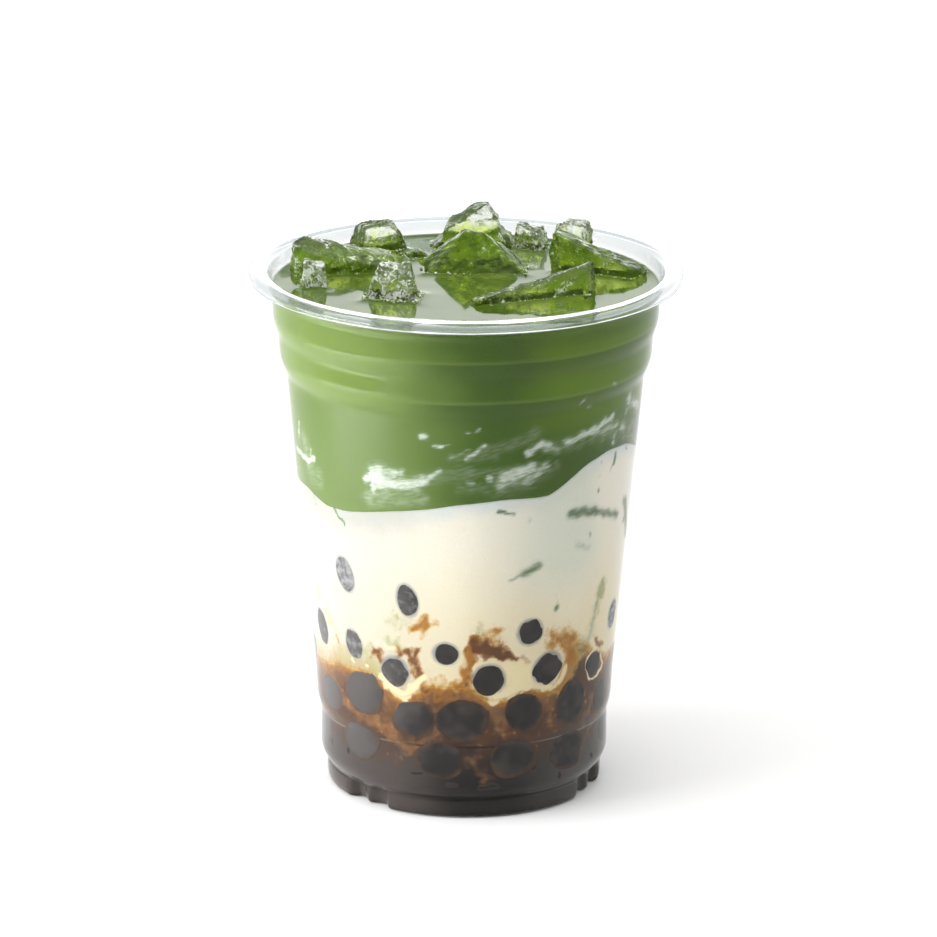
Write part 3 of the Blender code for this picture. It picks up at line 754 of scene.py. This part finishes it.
TAN = (
    (0.9, 1.4, ((-60.5, 27.6), (-52.4, 23.8), (-44.7, 22.3), (-37.4, 21.8))),
    (1, 1.5, ((-37.4, 21.8), (-30.8, 20.8), (-27.3, 18.1))),
    (0.85, 1.5, ((-27.3, 18.1), (-25.3, 16.7), (-20.9, 16.8), (-15.2, 18.3), (-10.5, 21.6))),
    (0.8, 1.2, ((-10.9, 22.1), (-11.2, 25.8), (-16.7, 28.5))),
    (0.7, 1.3, ((-30.8, 20.6), (-31.4, 25.0), (-33.0, 29.0))),
    (0.9, 1.3, ((10.9, 28.1), (13.4, 25.3), (14.3, 21.1))),
    (0.8, 1.2, ((32.2, 28.1), (34.4, 24.8), (36.6, 21.4))),
    (0.7, 1.3, ((54.2, 18.8), (56.3, 21.7), (59.7, 24.1))),
    (0.6, 1.5, ((-2.6, 30.6), (2.3, 30.6))),
    (0.5, 1.4, ((1.0, 17.2), (3.0, 14.7), (6.2, 10.8), (8.7, 9.3))),
    (0.5, 1.8, ((-26.2, 15.4), (-27.5, 12.9))),
    (0.45, 2.0, ((55.4, 13.1), (59.2, 14.6))),
    (0.6, 1.2, ((-72.8, 30.1), (-61.8, 31.0), (-54.0, 32.1))),
)
# Small dark marks against the wall in the base: painted shade of small marks pressed into the cup there,
# which its shape lacks
PRESSED_MARK_SHADES = (
    (1, 0.40, ((-66.9, 12.6), (-66.4, 11.2))),
    (1, 0.45, ((-53.6, 12.2), (-53.2, 11.8))),
    (0.9, 0.50, ((-6.0, 12.4), (-4.6, 12.0))),
    (0.8, 0.35, ((-21.5, 10.7), (-16.5, 10.5))),
    (1, 0.50, ((28.7, 12.9), (29.3, 11.3))),
    (1, 0.45, ((42.0, 8.3), (42.0, 7.7))),
    (0.9, 0.40, ((7.0, 7.9), (13.5, 8.0))),
    (0.8, 0.35, ((-6.4, 8.5), (-2.8, 8.4))),
    (0.9, 0.40, ((62.6, 10.2), (63.6, 9.2))),
)
# For each kind of stroke: its strokes, how far they spread and how far their lines wander in mm
STROKES = {"mark_shade": (PRESSED_MARK_SHADES, 1.5, 0.10), "smear": (SMEARS, 2.0, 0.07), "haze": (HAZES, 1.8, 0.10),
           "bits": (BITS, 2.1, 0.10), "brown": (BROWN, 1.8, 0.30), "orange": (ORANGE, 1.8, 0.30), "olive": (OLIVE, 2.1, 0.25),
           "cream": (CREAM, 1.6, 0.16), "tan": (TAN, 1.6, 0.30)}
FAR_SIDE_SHIFT = 3.0
WOBBLES = 8


def stroke_field(angle, height, strokes, spread, wander):
    """Density of brush strokes at each place: the largest strength times exp(-(d / w)^2), where d
    is the distance to the stroke's line and w its half-width times spread. The places are first
    moved by a sum of sine waves of the size wander. The far side, a guess, mirrors the front with
    a shift."""
    far = np.abs(angle) > 90
    folded = np.where(far, np.sign(angle) * 180 - angle, angle)
    shifted = height + FAR_SIDE_SHIFT * np.where(far, np.cos(np.radians(angle)) ** 2, 0) * np.sign(angle)
    around = np.radians(folded) * (outer_radius(height / 1000) * 1000)
    moved = np.zeros((2,) + height.shape)
    for number, (across, up, start) in enumerate(np.random.default_rng(3).uniform(-2, 2, (WOBBLES, 3))):
        moved[number % 2] += wander * np.sin(across * around + up * shifted + start)
    around, shifted = around + moved[0], shifted + moved[1]
    density = np.zeros_like(height)
    for strength, half_width, points in strokes:
        places = [(math.radians(a) * float(outer_radius(h / 1000)) * 1000, h) for a, h in points]
        for (x0, y0), (x1, y1) in zip(places[:-1], places[1:]) if len(places) > 1 else [(places[0],) * 2]:
            length = max((x1 - x0) ** 2 + (y1 - y0) ** 2, 1e-9)
            share = np.clip(((around - x0) * (x1 - x0) + (shifted - y0) * (y1 - y0)) / length, 0, 1)
            away = (around - x0 - share * (x1 - x0)) ** 2 + (shifted - y0 - share * (y1 - y0)) ** 2
            density = np.maximum(density, strength * np.exp(-away / (half_width * spread) ** 2))
    return density


def drink_paint():
    """The drink as it looks through the wall: layers by height over their lines, then strokes,
    with all edges broken up by noise."""
    material, paint, shader = finish_of("drink at the wall", {"Roughness": 0.6, "Specular IOR Level": 0.0})
    place = paint.node("ShaderNodeTexCoord", output="Object")
    x, y, height = (paint.node("ShaderNodeSeparateXYZ", {0: place}, output=axis) * 1000.0
                    for axis in "XYZ")
    drawn_out = paint.node("ShaderNodeCombineXYZ", {0: x * 0.22, 1: y * 0.22, 2: height - x * 0.25})

    def noise(scale, detail=2.0, vector=place, roughness=0.6):
        """Noise round 0, with most of it between -1 and 1."""
        return (paint.node("ShaderNodeTexNoise", {"Vector": vector, "Scale": scale, "Detail": detail,
                                                  "Roughness": roughness}) - 0.5) * 4.0

    def value(name):
        return paint.node("ShaderNodeAttribute", output="Fac", attribute_name=name)

    def layer(below, mask, tint, strength=1.0):
        return (mask * strength).blend(below, tint)

    broad, middling, fine = noise(45.0), noise(230.0, 4.0), noise(900.0, 4.0, roughness=0.7)
    feather, grain = noise(2.0, 4.0, drawn_out), noise(3500.0, 2.0)
    over_milk, over_syrup = value("over_milk"), value("over_syrup")
    # Matcha: painted light makes it paler at the left and upper left and brighter at the upper right, with
    # thin milk under its surface
    # Painted light: the matcha turns paler towards -X and brighter at the upper right
    green = (x * -1.0 + broad * 4.0).rise(-5.0, 13.0).blend(MATCHA_SHADED_RIGHT, MATCHA_LIT_LEFT)
    green = layer(green, (x * -1.0).rise(6.0, 26.0) * (height + broad).rise(94.0, 99.0), MATCHA_PAINTED_LIGHT)
    green = layer(green, (x + broad * 5.0).rise(8.0, 26.0) * height.rise(86.0, 98.0), MATCHA_LIT_RIGHT, 0.95)
    # Painted shade under each bead line and a painted highlight just over it, and painted shade under the
    # neck on the right
    right_half = (x + broad * 2.0).rise(-18.0, 0.0)
    for line in BEAD_SHADE_LINES:
        under = height.rise(line - 6.5, line - 0.6) * (1.0 - height.rise(line - 0.25, line + 0.05))
        green = layer(green, under * right_half, MATCHA_PAINTED_SHADE, 0.62)
        above = height.rise(line - 0.05, line + 0.2) * (1.0 - height.rise(line + 0.3, line + 1.2))
        green = layer(green, above, MATCHA_PAINTED_LIGHT, 0.35)
    green = layer(green, height.rise(111.5, 114.5) * right_half, MATCHA_PAINTED_SHADE, 0.35)
    veil = value("haze") * (feather * 0.60 + fine * 0.12 + middling * 0.3 + 1.0)
    green = layer(green, veil.rise(0.05, 1.15), MATCHA_MILKY, 0.9)
    smear = value("smear") + feather * 0.34 + fine * 0.10
    round_smear = value("smear") + feather * 0.20 + middling * 0.14
    green = layer(green, round_smear.rise(0.10, 0.90), MATCHA_MILKY, 0.8)
    green = layer(green, (smear + middling * 0.12).rise(0.40, 1.15), MILK_SMEAR, 0.95)
    # Milk, warmer towards the syrup and greyer at the right, with painted shade that darkens it towards the
    # left, most of all in a bluish film under the matcha
    milk = (height + broad * 6.0).rise(36.0, 70.0).blend(MILK_LOW, MILK_HIGH)
    blush = (broad + middling * 0.4).rise(0.2, 1.2) * (1.0 - height.rise(56.0, 64.0))
    milk = layer(milk, blush, MILK_BLUSH, 0.7)
    milk = layer(milk, (over_milk + broad * 1.5 + middling * 0.7).rise(-5.0, 0.5), MILK_TOP_FILM)
    # Painted shade: the milk darkens towards the left, most near the matcha line
    thin = (over_milk + middling * 1.5 + fine * 0.5).rise(-8.0, -2.0)
    milk = layer(milk, (x * -1.0 + broad * 3.0).rise(5.0, 24.0) * thin, MILK_FILM_AND_SHADE_LEFT, 0.9)
    milk = layer(milk, (x * -1.0 + broad * 3.0).rise(-2.0, 24.0), MILK_SHADED_LEFT, 0.75)
    greyed = (x + broad * 4.0).rise(4.0, 22.0) * (1.0 - (x + broad).rise(26.5, 31.0))
    milk = layer(milk, greyed * (height + middling * 3.0).rise(50.0, 62.0), MILK_GREYED, 0.75)
    wisp = value("bits")
    milk = layer(milk, (wisp + middling * 0.08).rise(0.10, 0.80), GREEN_SHADE, 0.55)
    milk = layer(milk, (wisp + feather * 0.14 + fine * 0.06).rise(0.34, 0.98), GREEN_WISP, 0.9)
    # Syrup: orange and brown marbling over the pearls, dark in the base, where painted light makes it paler
    # at the left and right
    marble = over_syrup + middling * 1.3 + fine * 0.55
    base = (x + broad * 3.0 + middling).rise(-17.0, -1.0).blend(SYRUP_BASE_LIT_LEFT, SYRUP_BASE)
    base = layer(base, (x + middling).rise(9.0, 27.0), SYRUP_BASE_LIT_RIGHT)
    syrup = (height + broad * 2.5 + middling * 2.0).rise(9.0, 24.0).blend(base, SYRUP_DARK)
    clouds = (middling + fine * 0.5 + broad * 0.4).rise(-0.5, 1.1)
    syrup = layer(syrup, clouds * height.rise(12.0, 24.0), SYRUP_BROWN)
    veins = (value("tan") * 0.9 + middling * 0.24 + fine * 0.26).rise(0.22, 1.10)
    syrup = layer(syrup, veins, SYRUP_MILKY, 0.9)
    specks = (fine + middling * 0.3).rise(0.35, 1.0)
    syrup = layer(syrup, specks * height.rise(9.0, 20.0), SYRUP_SPECK, 0.55)
    mixed = layer(syrup, marble.rise(-7.0, -1.0), SYRUP_MILKY, 0.62)
    mixed = layer(mixed, (marble + fine * 0.5).rise(-2.6, -0.3), SYRUP_ORANGE, 0.9)
    mixed = layer(mixed, marble.rise(-1.0, 0.4), SYRUP_OCHRE)
    mixed = layer(mixed, (marble + fine * 0.3).rise(-0.2, 1.5), milk)
    stained = 1.0 - (over_syrup + middling * 2.2 + fine * 0.9).rise(0.3, 6.5)
    stained = stained * over_syrup.rise(-1.0, 1.0) * (x * -1.0 + broad * 2.0).rise(4.0, 20.0)
    mixed = layer(mixed, stained, SYRUP_STAIN, 0.8)
    # Painted shade along the middle of the two lowest creases, and painted highlights at their ends
    for crease in (BEADS[0][0][1] * 1000, BEADS[1][0][1] * 1000):
        line = (height - crease - 0.1).maths("ABSOLUTE") * -1.0
        middle = 1.0 - x.maths("ABSOLUTE").rise(8.0, 16.0)
        ends = x.maths("ABSOLUTE").rise(12.0, 20.0)
        mixed = layer(mixed, line.rise(-0.55, -0.05) * middle, PAINTED_SHADE_DARK, 0.8)
        mixed = layer(mixed, line.rise(-0.35, -0.05) * ends, CREASE_HIGHLIGHT, 0.22)
    for name, tint, low, high, strength in (
            ("olive", OLIVE_TINT, 0.15, 0.9, 0.85), ("orange", SYRUP_OCHRE, 0.12, 0.6, 0.8),
            ("orange", SYRUP_ORANGE, 0.42, 0.9, 0.95), ("brown", SYRUP_ORANGE, 0.15, 0.6, 0.85),
            ("brown", SYRUP_BROWN, 0.40, 0.9, 0.95), ("cream", MILK_CREAM, 0.30, 0.80, 0.95)):
        touched = value(name).rise(0.02, 0.16)
        stroke = (value(name) + middling * 0.22 + fine * 0.24).rise(low, high)
        mixed = layer(mixed, touched * stroke, tint, strength)
    # Painted shade in the small marks pressed into the base
    shade_in_marks = value("mark_shade") + fine * 0.08
    mixed = layer(mixed, shade_in_marks.rise(0.20, 0.42), SYRUP_BASE_LIT_LEFT, 0.7)
    mixed = layer(mixed, shade_in_marks.rise(0.42, 0.70), PAINTED_SHADE_DARK, 0.9)
    # A bluish shade round each pearl that hangs in the milk
    ring = (1.0 - (value("pearl") + fine * 0.18).rise(-0.3, 0.9)) * over_syrup.rise(0.8, 3.5)
    mixed = layer(mixed, ring, PEARL_SHADE, 0.85)
    colour = (over_milk + fine * 0.06).rise(-0.1, 0.1).blend(mixed, green)
    shaded = paint.node("ShaderNodeVectorMath", {0: colour, "Scale": grain * GRAIN_SIZE + 1.0},
                        operation="SCALE")
    paint.feed(shader.inputs["Base Color"], shaded)
    return material


def mark_layer(mesh):
    """Writes what the paint reads at each vertex: heights over the lines, strokes and pearls."""
    points = np.empty(len(mesh.vertices) * 3)
    mesh.vertices.foreach_get("co", points)
    angle, height = places_on_wall(points.reshape(-1, 3))
    set_attribute(mesh, "over_milk", height - line_height(angle, MATCHA_LINE) * 1000)
    set_attribute(mesh, "over_syrup", height - line_height(angle, SYRUP_LINE) * 1000)
    set_attribute(mesh, "pearl", pearl_distance(angle, height))
    for name, (strokes, spread, wander) in STROKES.items():
        set_attribute(mesh, name, stroke_field(angle, height, strokes, spread, wander))


at_wall = drink_paint()
milk_side = side_points(syrup_line, matcha_line, 88)
milk_mesh = grid_mesh("milk", np.concatenate([cap_points(milk_side[0], 10)[::-1], milk_side,
                                              cap_points(milk_side[-1], 10)]))
mark_layer(milk_mesh)
milk = place_piece("milk_layer", milk_mesh, at_wall)
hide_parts("milk")


def foot_top(angle):
    return BEADS[0][0][1] + 0 * angle


foot_fill = push_recesses(turned(inside_line(WALL - REACH)[::-1], DRINK_COLUMNS))
foot_fill = np.roll(foot_fill, -DRINK_COLUMNS // 2, axis=1)
foot_fill = foot_fill[foot_fill[:, 0, 2] < BEADS[0][0][1]]
syrup_side = side_points(foot_top, syrup_line, 56)
syrup_mesh = grid_mesh("syrup", np.concatenate([foot_fill, syrup_side, cap_points(syrup_side[-1], 10)]))
mark_layer(syrup_mesh)
syrup = place_piece("syrup_layer", syrup_mesh, at_wall)
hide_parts("syrup")


# Drink's surface and ice
# Broken ice floats in the matcha. The drink creeps a little up the wall and the ice, and inside
# each piece of ice the surface sinks away, so the ice shows the green depth below it.
# Name, middle (x, y), length, width, turn, bottom, top at each end, and the top's share
ICE = (
    ("ice_left_wedge", (-0.0278, 0.0118), 0.0238, 0.0108, 8, 0.1040, 0.1252, 0.1198, (0.94, 0.74)),
    ("ice_left_stub", (-0.0342, -0.0012), 0.0064, 0.0066, 4, 0.1080, 0.1230, 0.1228, (0.80, 0.70)),
    ("ice_front_left", (-0.0163, -0.0113), 0.0132, 0.0090, -10, 0.1055, 0.1240, 0.1256, (0.50, 0.50)),
    ("ice_back_left", (-0.0205, 0.0296), 0.0142, 0.0080, 31, 0.1060, 0.1234, 0.1240, (0.62, 0.60)),
    ("ice_back_peak", (0.0018, 0.0323), 0.0205, 0.0092, -2, 0.1040, 0.1270, 0.1277, (0.30, 0.40)),
    ("ice_back_right", (0.0147, 0.0322), 0.0086, 0.0072, -14, 0.1080, 0.1234, 0.1218, (0.70, 0.55)),
    ("ice_centre", (0.0018, 0.0135), 0.0262, 0.0122, 0, 0.1020, 0.1262, 0.1262, (0.16, 0.30)),
    ("ice_small", (-0.0112, 0.0232), 0.0060, 0.0050, 20, 0.1110, 0.1192, 0.1188, (0.60, 0.60)),
    ("ice_right_block", (0.0248, 0.0300), 0.0098, 0.0070, -38, 0.1070, 0.1246, 0.1254, (0.70, 0.62)),
    ("ice_right_slab", (0.0302, 0.0110), 0.0216, 0.0074, -24, 0.1030, 0.1255, 0.1188, (0.98, 0.80)),
    ("ice_front_right", (0.0149, -0.0114), 0.0290, 0.0054, 22, 0.1060, 0.1178, 0.1240, (0.98, 0.60)))
# Half of a piece's size at the surface, as a share of its length or width
ICE_HALF = 0.43
ICE_WAIST = 0.0008
ICE_BOTTOM_SHARE = 0.82
ICE_ROWS, ICE_COLUMNS = 64, 128
ICE_EDGE = 0.00022
ICE_CUTS, CUT_DEPTH = 12, (0.76, 0.95)
DENT_SIZES, DENT_LENGTH, ICE_GROWTH = (0.00060, 0.00035, 0.00022, 0.00012), 0.0032, 1.07
MENISCUS, MENISCUS_REACH = 0.0005, 0.0011
POCKET_DEPTH, POCKET_START, POCKET_WIDTH = 0.0085, 0.0004, 0.0012


def into_ice_frame(x, y, middle, turn):
    """Coordinates along and across a piece of ice from coordinates in the cup."""
    angle = math.radians(turn)
    return ((x - middle[0]) * math.cos(angle) + (y - middle[1]) * math.sin(angle),
            (y - middle[1]) * math.cos(angle) - (x - middle[0]) * math.sin(angle))


def ice_distance(x, y, middle, length, width, turn):
    """Signed distance to the rectangle in which a piece of ice meets the surface."""
    along, across = into_ice_frame(x, y, middle, turn)
    a, b = np.abs(along) - length * ICE_HALF, np.abs(across) - width * ICE_HALF
    return np.hypot(np.maximum(a, 0), np.maximum(b, 0)) + np.minimum(np.maximum(a, b), 0)


def surface_height(x, y):
    """Height of the drink's surface: level, raised near the wall and the ice and sunk in the ice."""
    wall_gap = outer_radius(LEVEL) - WALL - np.hypot(x, y)
    height = LEVEL + MENISCUS * np.exp(-np.maximum(wall_gap, 0) / MENISCUS_REACH)
    for _, middle, length, width, turn, bottom, *_ in ICE:
        away = ice_distance(x, y, middle, length, width, turn)
        sunk = np.clip((-away - POCKET_START) / POCKET_WIDTH, 0, 1)
        height = height + MENISCUS * np.exp(-np.abs(away) / MENISCUS_REACH) * (sunk <= 0)
        height = height - min(POCKET_DEPTH, LEVEL - bottom - 0.001) * sunk
    return height


def ice_points(middle, length, width, turn, bottom, left_top, right_top, top_share, seed):
    """A broken block: along each direction from its middle, the distance to the nearest of its
    faces, which are the block's own and some random cuts, with a soft minimum for the edges. The
    faces are dented by a sum of sine waves, as broken ice is hollowed."""
    waist = LEVEL - ICE_WAIST
    dip = np.linspace(0.03, math.pi - 0.03, ICE_ROWS)[:, None]
    sweep = np.linspace(0, 2 * math.pi, ICE_COLUMNS, endpoint=False)[None]
    top = (left_top + right_top) / 2
    way = np.stack([np.sin(dip) * np.cos(sweep) * length, np.sin(dip) * np.sin(sweep) * width,
                    (np.cos(dip) + 0 * sweep) * (top - bottom) * 0.8], axis=-1)
    way /= np.linalg.norm(way, axis=-1, keepdims=True)
    faces = [((0, 0, -1), waist - bottom), ((-(right_top - left_top) / length, 0, 1), top - waist)]
    for axis, half, share in ((0, length / 2, top_share[0]), (1, width / 2, top_share[1])):
        for sign in (-1, 1):
            end_top = (right_top if sign > 0 else left_top) if axis == 0 else top
            upper, lower = [0, 0, half * (1 - share)], [0, 0, -half * (1 - ICE_BOTTOM_SHARE)]
            upper[axis], lower[axis] = sign * (end_top - waist), sign * (waist - bottom)
            faces += [(upper, (end_top - waist) * half), (lower, (waist - bottom) * half)]
    chance = np.random.default_rng(seed)
    scaled = [(np.array(normal) / np.linalg.norm(normal), reach / np.linalg.norm(normal))
              for normal, reach in faces]
    reaches = [reach / np.maximum(way @ normal, 1e-6) for normal, reach in scaled]
    whole = np.minimum.reduce(reaches)
    hull = way * whole[..., None]
    for _ in range(ICE_CUTS):
        normal = chance.normal(0, 1, 3) * (1 / length, 1 / width, 0.8 / (top - bottom))
        normal /= np.linalg.norm(normal)
        reaches.append((hull @ normal).max() * chance.uniform(*CUT_DEPTH) / np.maximum(way @ normal, 1e-6))
    reaches = np.minimum(np.stack(reaches), 0.05)
    nearest = reaches.min(axis=0)
    radius = nearest - ICE_EDGE * np.log(np.exp(-(reaches - nearest) / ICE_EDGE).sum(axis=0))
    dents = np.zeros_like(radius)
    for size, (a, b, c, start) in zip(DENT_SIZES, chance.normal(0, 1, (len(DENT_SIZES), 4))):
        pull = way * radius[..., None] / DENT_LENGTH / (size / DENT_SIZES[0])
        dents += size * np.abs(np.sin(pull[..., 0] * a + pull[..., 1] * b + pull[..., 2] * c + start * 3))
    local = way * (ICE_GROWTH * (radius - np.minimum(dents, radius * 0.3)))[..., None]
    angle = math.radians(turn)
    return np.stack([middle[0] + local[..., 0] * math.cos(angle) - local[..., 1] * math.sin(angle),
                     middle[1] + local[..., 0] * math.sin(angle) + local[..., 1] * math.cos(angle),
                     waist + local[..., 2]], axis=-1)


SURFACE_DEEP, SURFACE_LIGHT = (0.046, 0.090, 0.006), (0.078, 0.132, 0.018)
# The sunk surface inside the ice is painted a far paler green than the drink, a painted light for the glow
# through the ice
POCKET_LIT_GREEN = (0.20, 0.29, 0.015)
matcha_side = side_points(matcha_line, lambda angle: LEVEL + 0 * angle, 84)
surface = cap_points(matcha_side[-1], 88)
surface[..., 2] = surface_height(surface[..., 0], surface[..., 1])
matcha_side[-1, :, 2] = surface_height(matcha_side[-1, :, 0], matcha_side[-1, :, 1])
under = cap_points(matcha_side[0], 10)[::-1]
matcha_mesh = grid_mesh("matcha", np.concatenate([under, matcha_side, surface]))
mark_layer(matcha_mesh)
wet, paint, shader = finish_of("wet matcha", {"Roughness": 0.06, "IOR": 1.33, "Specular IOR Level": 0.38})
place = paint.node("ShaderNodeTexCoord", output="Object")
swirl = paint.node("ShaderNodeTexNoise", {"Vector": place, "Scale": 70.0, "Detail": 4.0,
                                          "Distortion": 1.2})
height = paint.node("ShaderNodeSeparateXYZ", {0: place}, output="Z")
# Painted light: the surface inside the ice is paler green
in_ice = 1.0 - height.rise(LEVEL - 0.0020, LEVEL - 0.0004)
paint.feed(shader.inputs["Base Color"],
           in_ice.blend(swirl.rise(0.3, 0.7).blend(SURFACE_DEEP, SURFACE_LIGHT), POCKET_LIT_GREEN))
matcha = place_piece("matcha_layer", matcha_mesh, at_wall, wet)
first_top_face = (len(under) + len(matcha_side) - 1) * DRINK_COLUMNS
slots = np.zeros(len(matcha_mesh.polygons), dtype=np.int32)
slots[first_top_face:-2 * DRINK_COLUMNS] = 1
slots[-DRINK_COLUMNS:] = 1
matcha_mesh.polygons.foreach_set("material_index", slots)
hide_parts("matcha")

# Height over the drink in mm at which the ice turns from green to clear, how frosted it is, and
# how much of it the drink's film covers
ICE_LOOKS = {"ice_left_wedge": (5.5, 0.32, 0.55), "ice_left_stub": (2.0, 0.75, 0.0),
             "ice_front_left": (3.5, 0.65, 0.0), "ice_back_left": (3.0, 0.25, 0.10),
             "ice_back_peak": (5.5, 0.30, 0.25), "ice_back_right": (2.5, 0.50, 0.10),
             "ice_centre": (14.0, 0.05, 0.45), "ice_small": (4.0, 0.20, 0.30),
             "ice_right_block": (4.0, 0.35, 0.10), "ice_right_slab": (12.0, 0.10, 0.35),
             "ice_front_right": (3.8, 0.34, 0.35)}
ICE_GREEN, ICE_CLEAR, ICE_FROST = (0.78, 0.94, 0.20), (0.96, 0.98, 0.90), (0.84, 0.88, 0.78)
ICE_FILM = (0.20, 0.34, 0.014)


def ice_finish(name, clear_from, frosted, filmed):
    """Ice that is green low down, from the drink behind it, clear higher up, white in patches, and
    in other patches covered by a film of the drink."""
    material, paint, shader = finish_of(name, {"Roughness": 0.04, "IOR": 1.31, "Transmission Weight": 1.0})
    place = paint.node("ShaderNodeTexCoord", output="Object")
    chips = paint.node("ShaderNodeTexNoise", {"Vector": place, "Scale": 420.0, "Detail": 4.0})
    veins = paint.node("ShaderNodeTexNoise", {"Vector": place, "Scale": 900.0, "Detail": 5.0,
                                              "Distortion": 1.5})
    rise = (paint.node("ShaderNodeSeparateXYZ", {0: place}, output="Z") - LEVEL) * 1000.0
    tint = (rise + (chips - 0.5) * 8.0).rise(clear_from - 1.5, clear_from + 1.5)
    paint.feed(shader.inputs["Base Color"], tint.blend(ICE_GREEN, ICE_CLEAR))
    bumps = paint.node("ShaderNodeBump", {"Height": chips + veins * 0.3, "Strength": 0.35,
                                          "Distance": 0.0015})
    paint.feed(shader.inputs["Normal"], bumps)
    crust = paint.node("ShaderNodeBsdfPrincipled", {"Base Color": ICE_FROST, "Roughness": 0.35})
    where = ((chips - 0.5) * 2.0 + (veins - 0.5) * 2.5 + frosted).rise(0.55, 1.0)
    where = where * rise.rise(-1.0, 0.5) * 0.8
    film = paint.node("ShaderNodeBsdfPrincipled", {"Base Color": ICE_FILM, "Roughness": 0.12})
    wetted = ((chips - 0.5) * 1.8 + (veins - 0.5) * 0.8 + filmed).rise(0.15, 0.85) * (1.0 - tint) * 0.75
    bare = Field(paint.tree, shader.outputs[0])
    mixed = paint.node("ShaderNodeMixShader", {0: wetted, 1: bare, 2: film})
    mixed = paint.node("ShaderNodeMixShader", {0: where, 1: mixed, 2: crust})
    paint.feed(paint.tree.nodes["Material Output"].inputs["Surface"], mixed)
    return material


for seed, (name, *shape) in enumerate(ICE):
    ice = ice_finish(f"{name} finish", *ICE_LOOKS[name])
    block = place_piece(f"broken_{name}", grid_mesh(name, ice_points(*shape, seed)[::-1]), ice)
    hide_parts(name)

# Froth
# Small bubbles and chips of ice gather where the ice meets the drink, most of them at the left
# and front pieces.
FROTH = {"ice_left_wedge": 60, "ice_left_stub": 40, "ice_front_left": 150, "ice_back_left": 20,
         "ice_back_peak": 44, "ice_back_right": 24, "ice_centre": 46, "ice_small": 22, "ice_right_block": 30,
         "ice_right_slab": 44, "ice_front_right": 70}
BUBBLE_SIZES, BUBBLE_SPREAD = (0.00010, 0.00042), 0.0005
BUBBLE_ROWS, BUBBLE_COLUMNS = 9, 14
BUBBLE_FLATNESS = 0.8
FOAM_GREEN, FOAM_WHITE = (0.30, 0.42, 0.14), (0.80, 0.86, 0.68)


def froth_points(shape, count, chance):
    """Middles and sizes of bubbles: at random along the edge of a piece of ice at the surface."""
    middle, length, width, turn = shape[:4]
    along = chance.uniform(-1, 1, count)
    side = np.sign(chance.uniform(-1, 1, count))
    at_end = chance.uniform(0, 1, count) < width / (length + width)
    a = np.where(at_end, side, along) * length * 0.45 + chance.normal(0, BUBBLE_SPREAD, count)
    b = np.where(at_end, along, side) * width * 0.45 + chance.normal(0, BUBBLE_SPREAD, count)
    angle = math.radians(turn)
    x = middle[0] + a * math.cos(angle) - b * math.sin(angle)
    y = middle[1] + a * math.sin(angle) + b * math.cos(angle)
    size = BUBBLE_SIZES[0] + (BUBBLE_SIZES[1] - BUBBLE_SIZES[0]) * chance.uniform(0, 1, count) ** 3
    return np.stack([x, y, LEVEL + MENISCUS * 0.8 + size * 0.2], axis=1), size


chance = np.random.default_rng(11)
dip = np.linspace(0.02, math.pi - 0.02, BUBBLE_ROWS)[::-1, None]
turn = np.linspace(0, 2 * math.pi, BUBBLE_COLUMNS, endpoint=False)[None]
ball = np.stack([np.sin(dip) * np.cos(turn), np.sin(dip) * np.sin(turn),
                 BUBBLE_FLATNESS * np.cos(dip) + 0 * turn], axis=-1)
bubble_meshes = []
for name, *shape in ICE:
    for centre, size in zip(*froth_points(shape, FROTH[name], chance)):
        if math.hypot(centre[0], centre[1]) + size < float(outer_radius(LEVEL)) - WALL:
            bubble_meshes.append(grid_mesh("bubble", centre + ball * size))
froth_mesh = join_meshes("froth", bubble_meshes)
foam, paint, shader = finish_of("froth", {"Roughness": 0.08, "IOR": 1.33, "Coat Weight": 0.6})
place = paint.node("ShaderNodeTexCoord", output="Object")
speckle = paint.node("ShaderNodeTexNoise", {"Vector": place, "Scale": 900.0, "Detail": 3.0})
paint.feed(shader.inputs["Base Color"], speckle.rise(0.35, 0.65).blend(FOAM_GREEN, FOAM_WHITE))
froth = place_piece("froth", froth_mesh, foam)
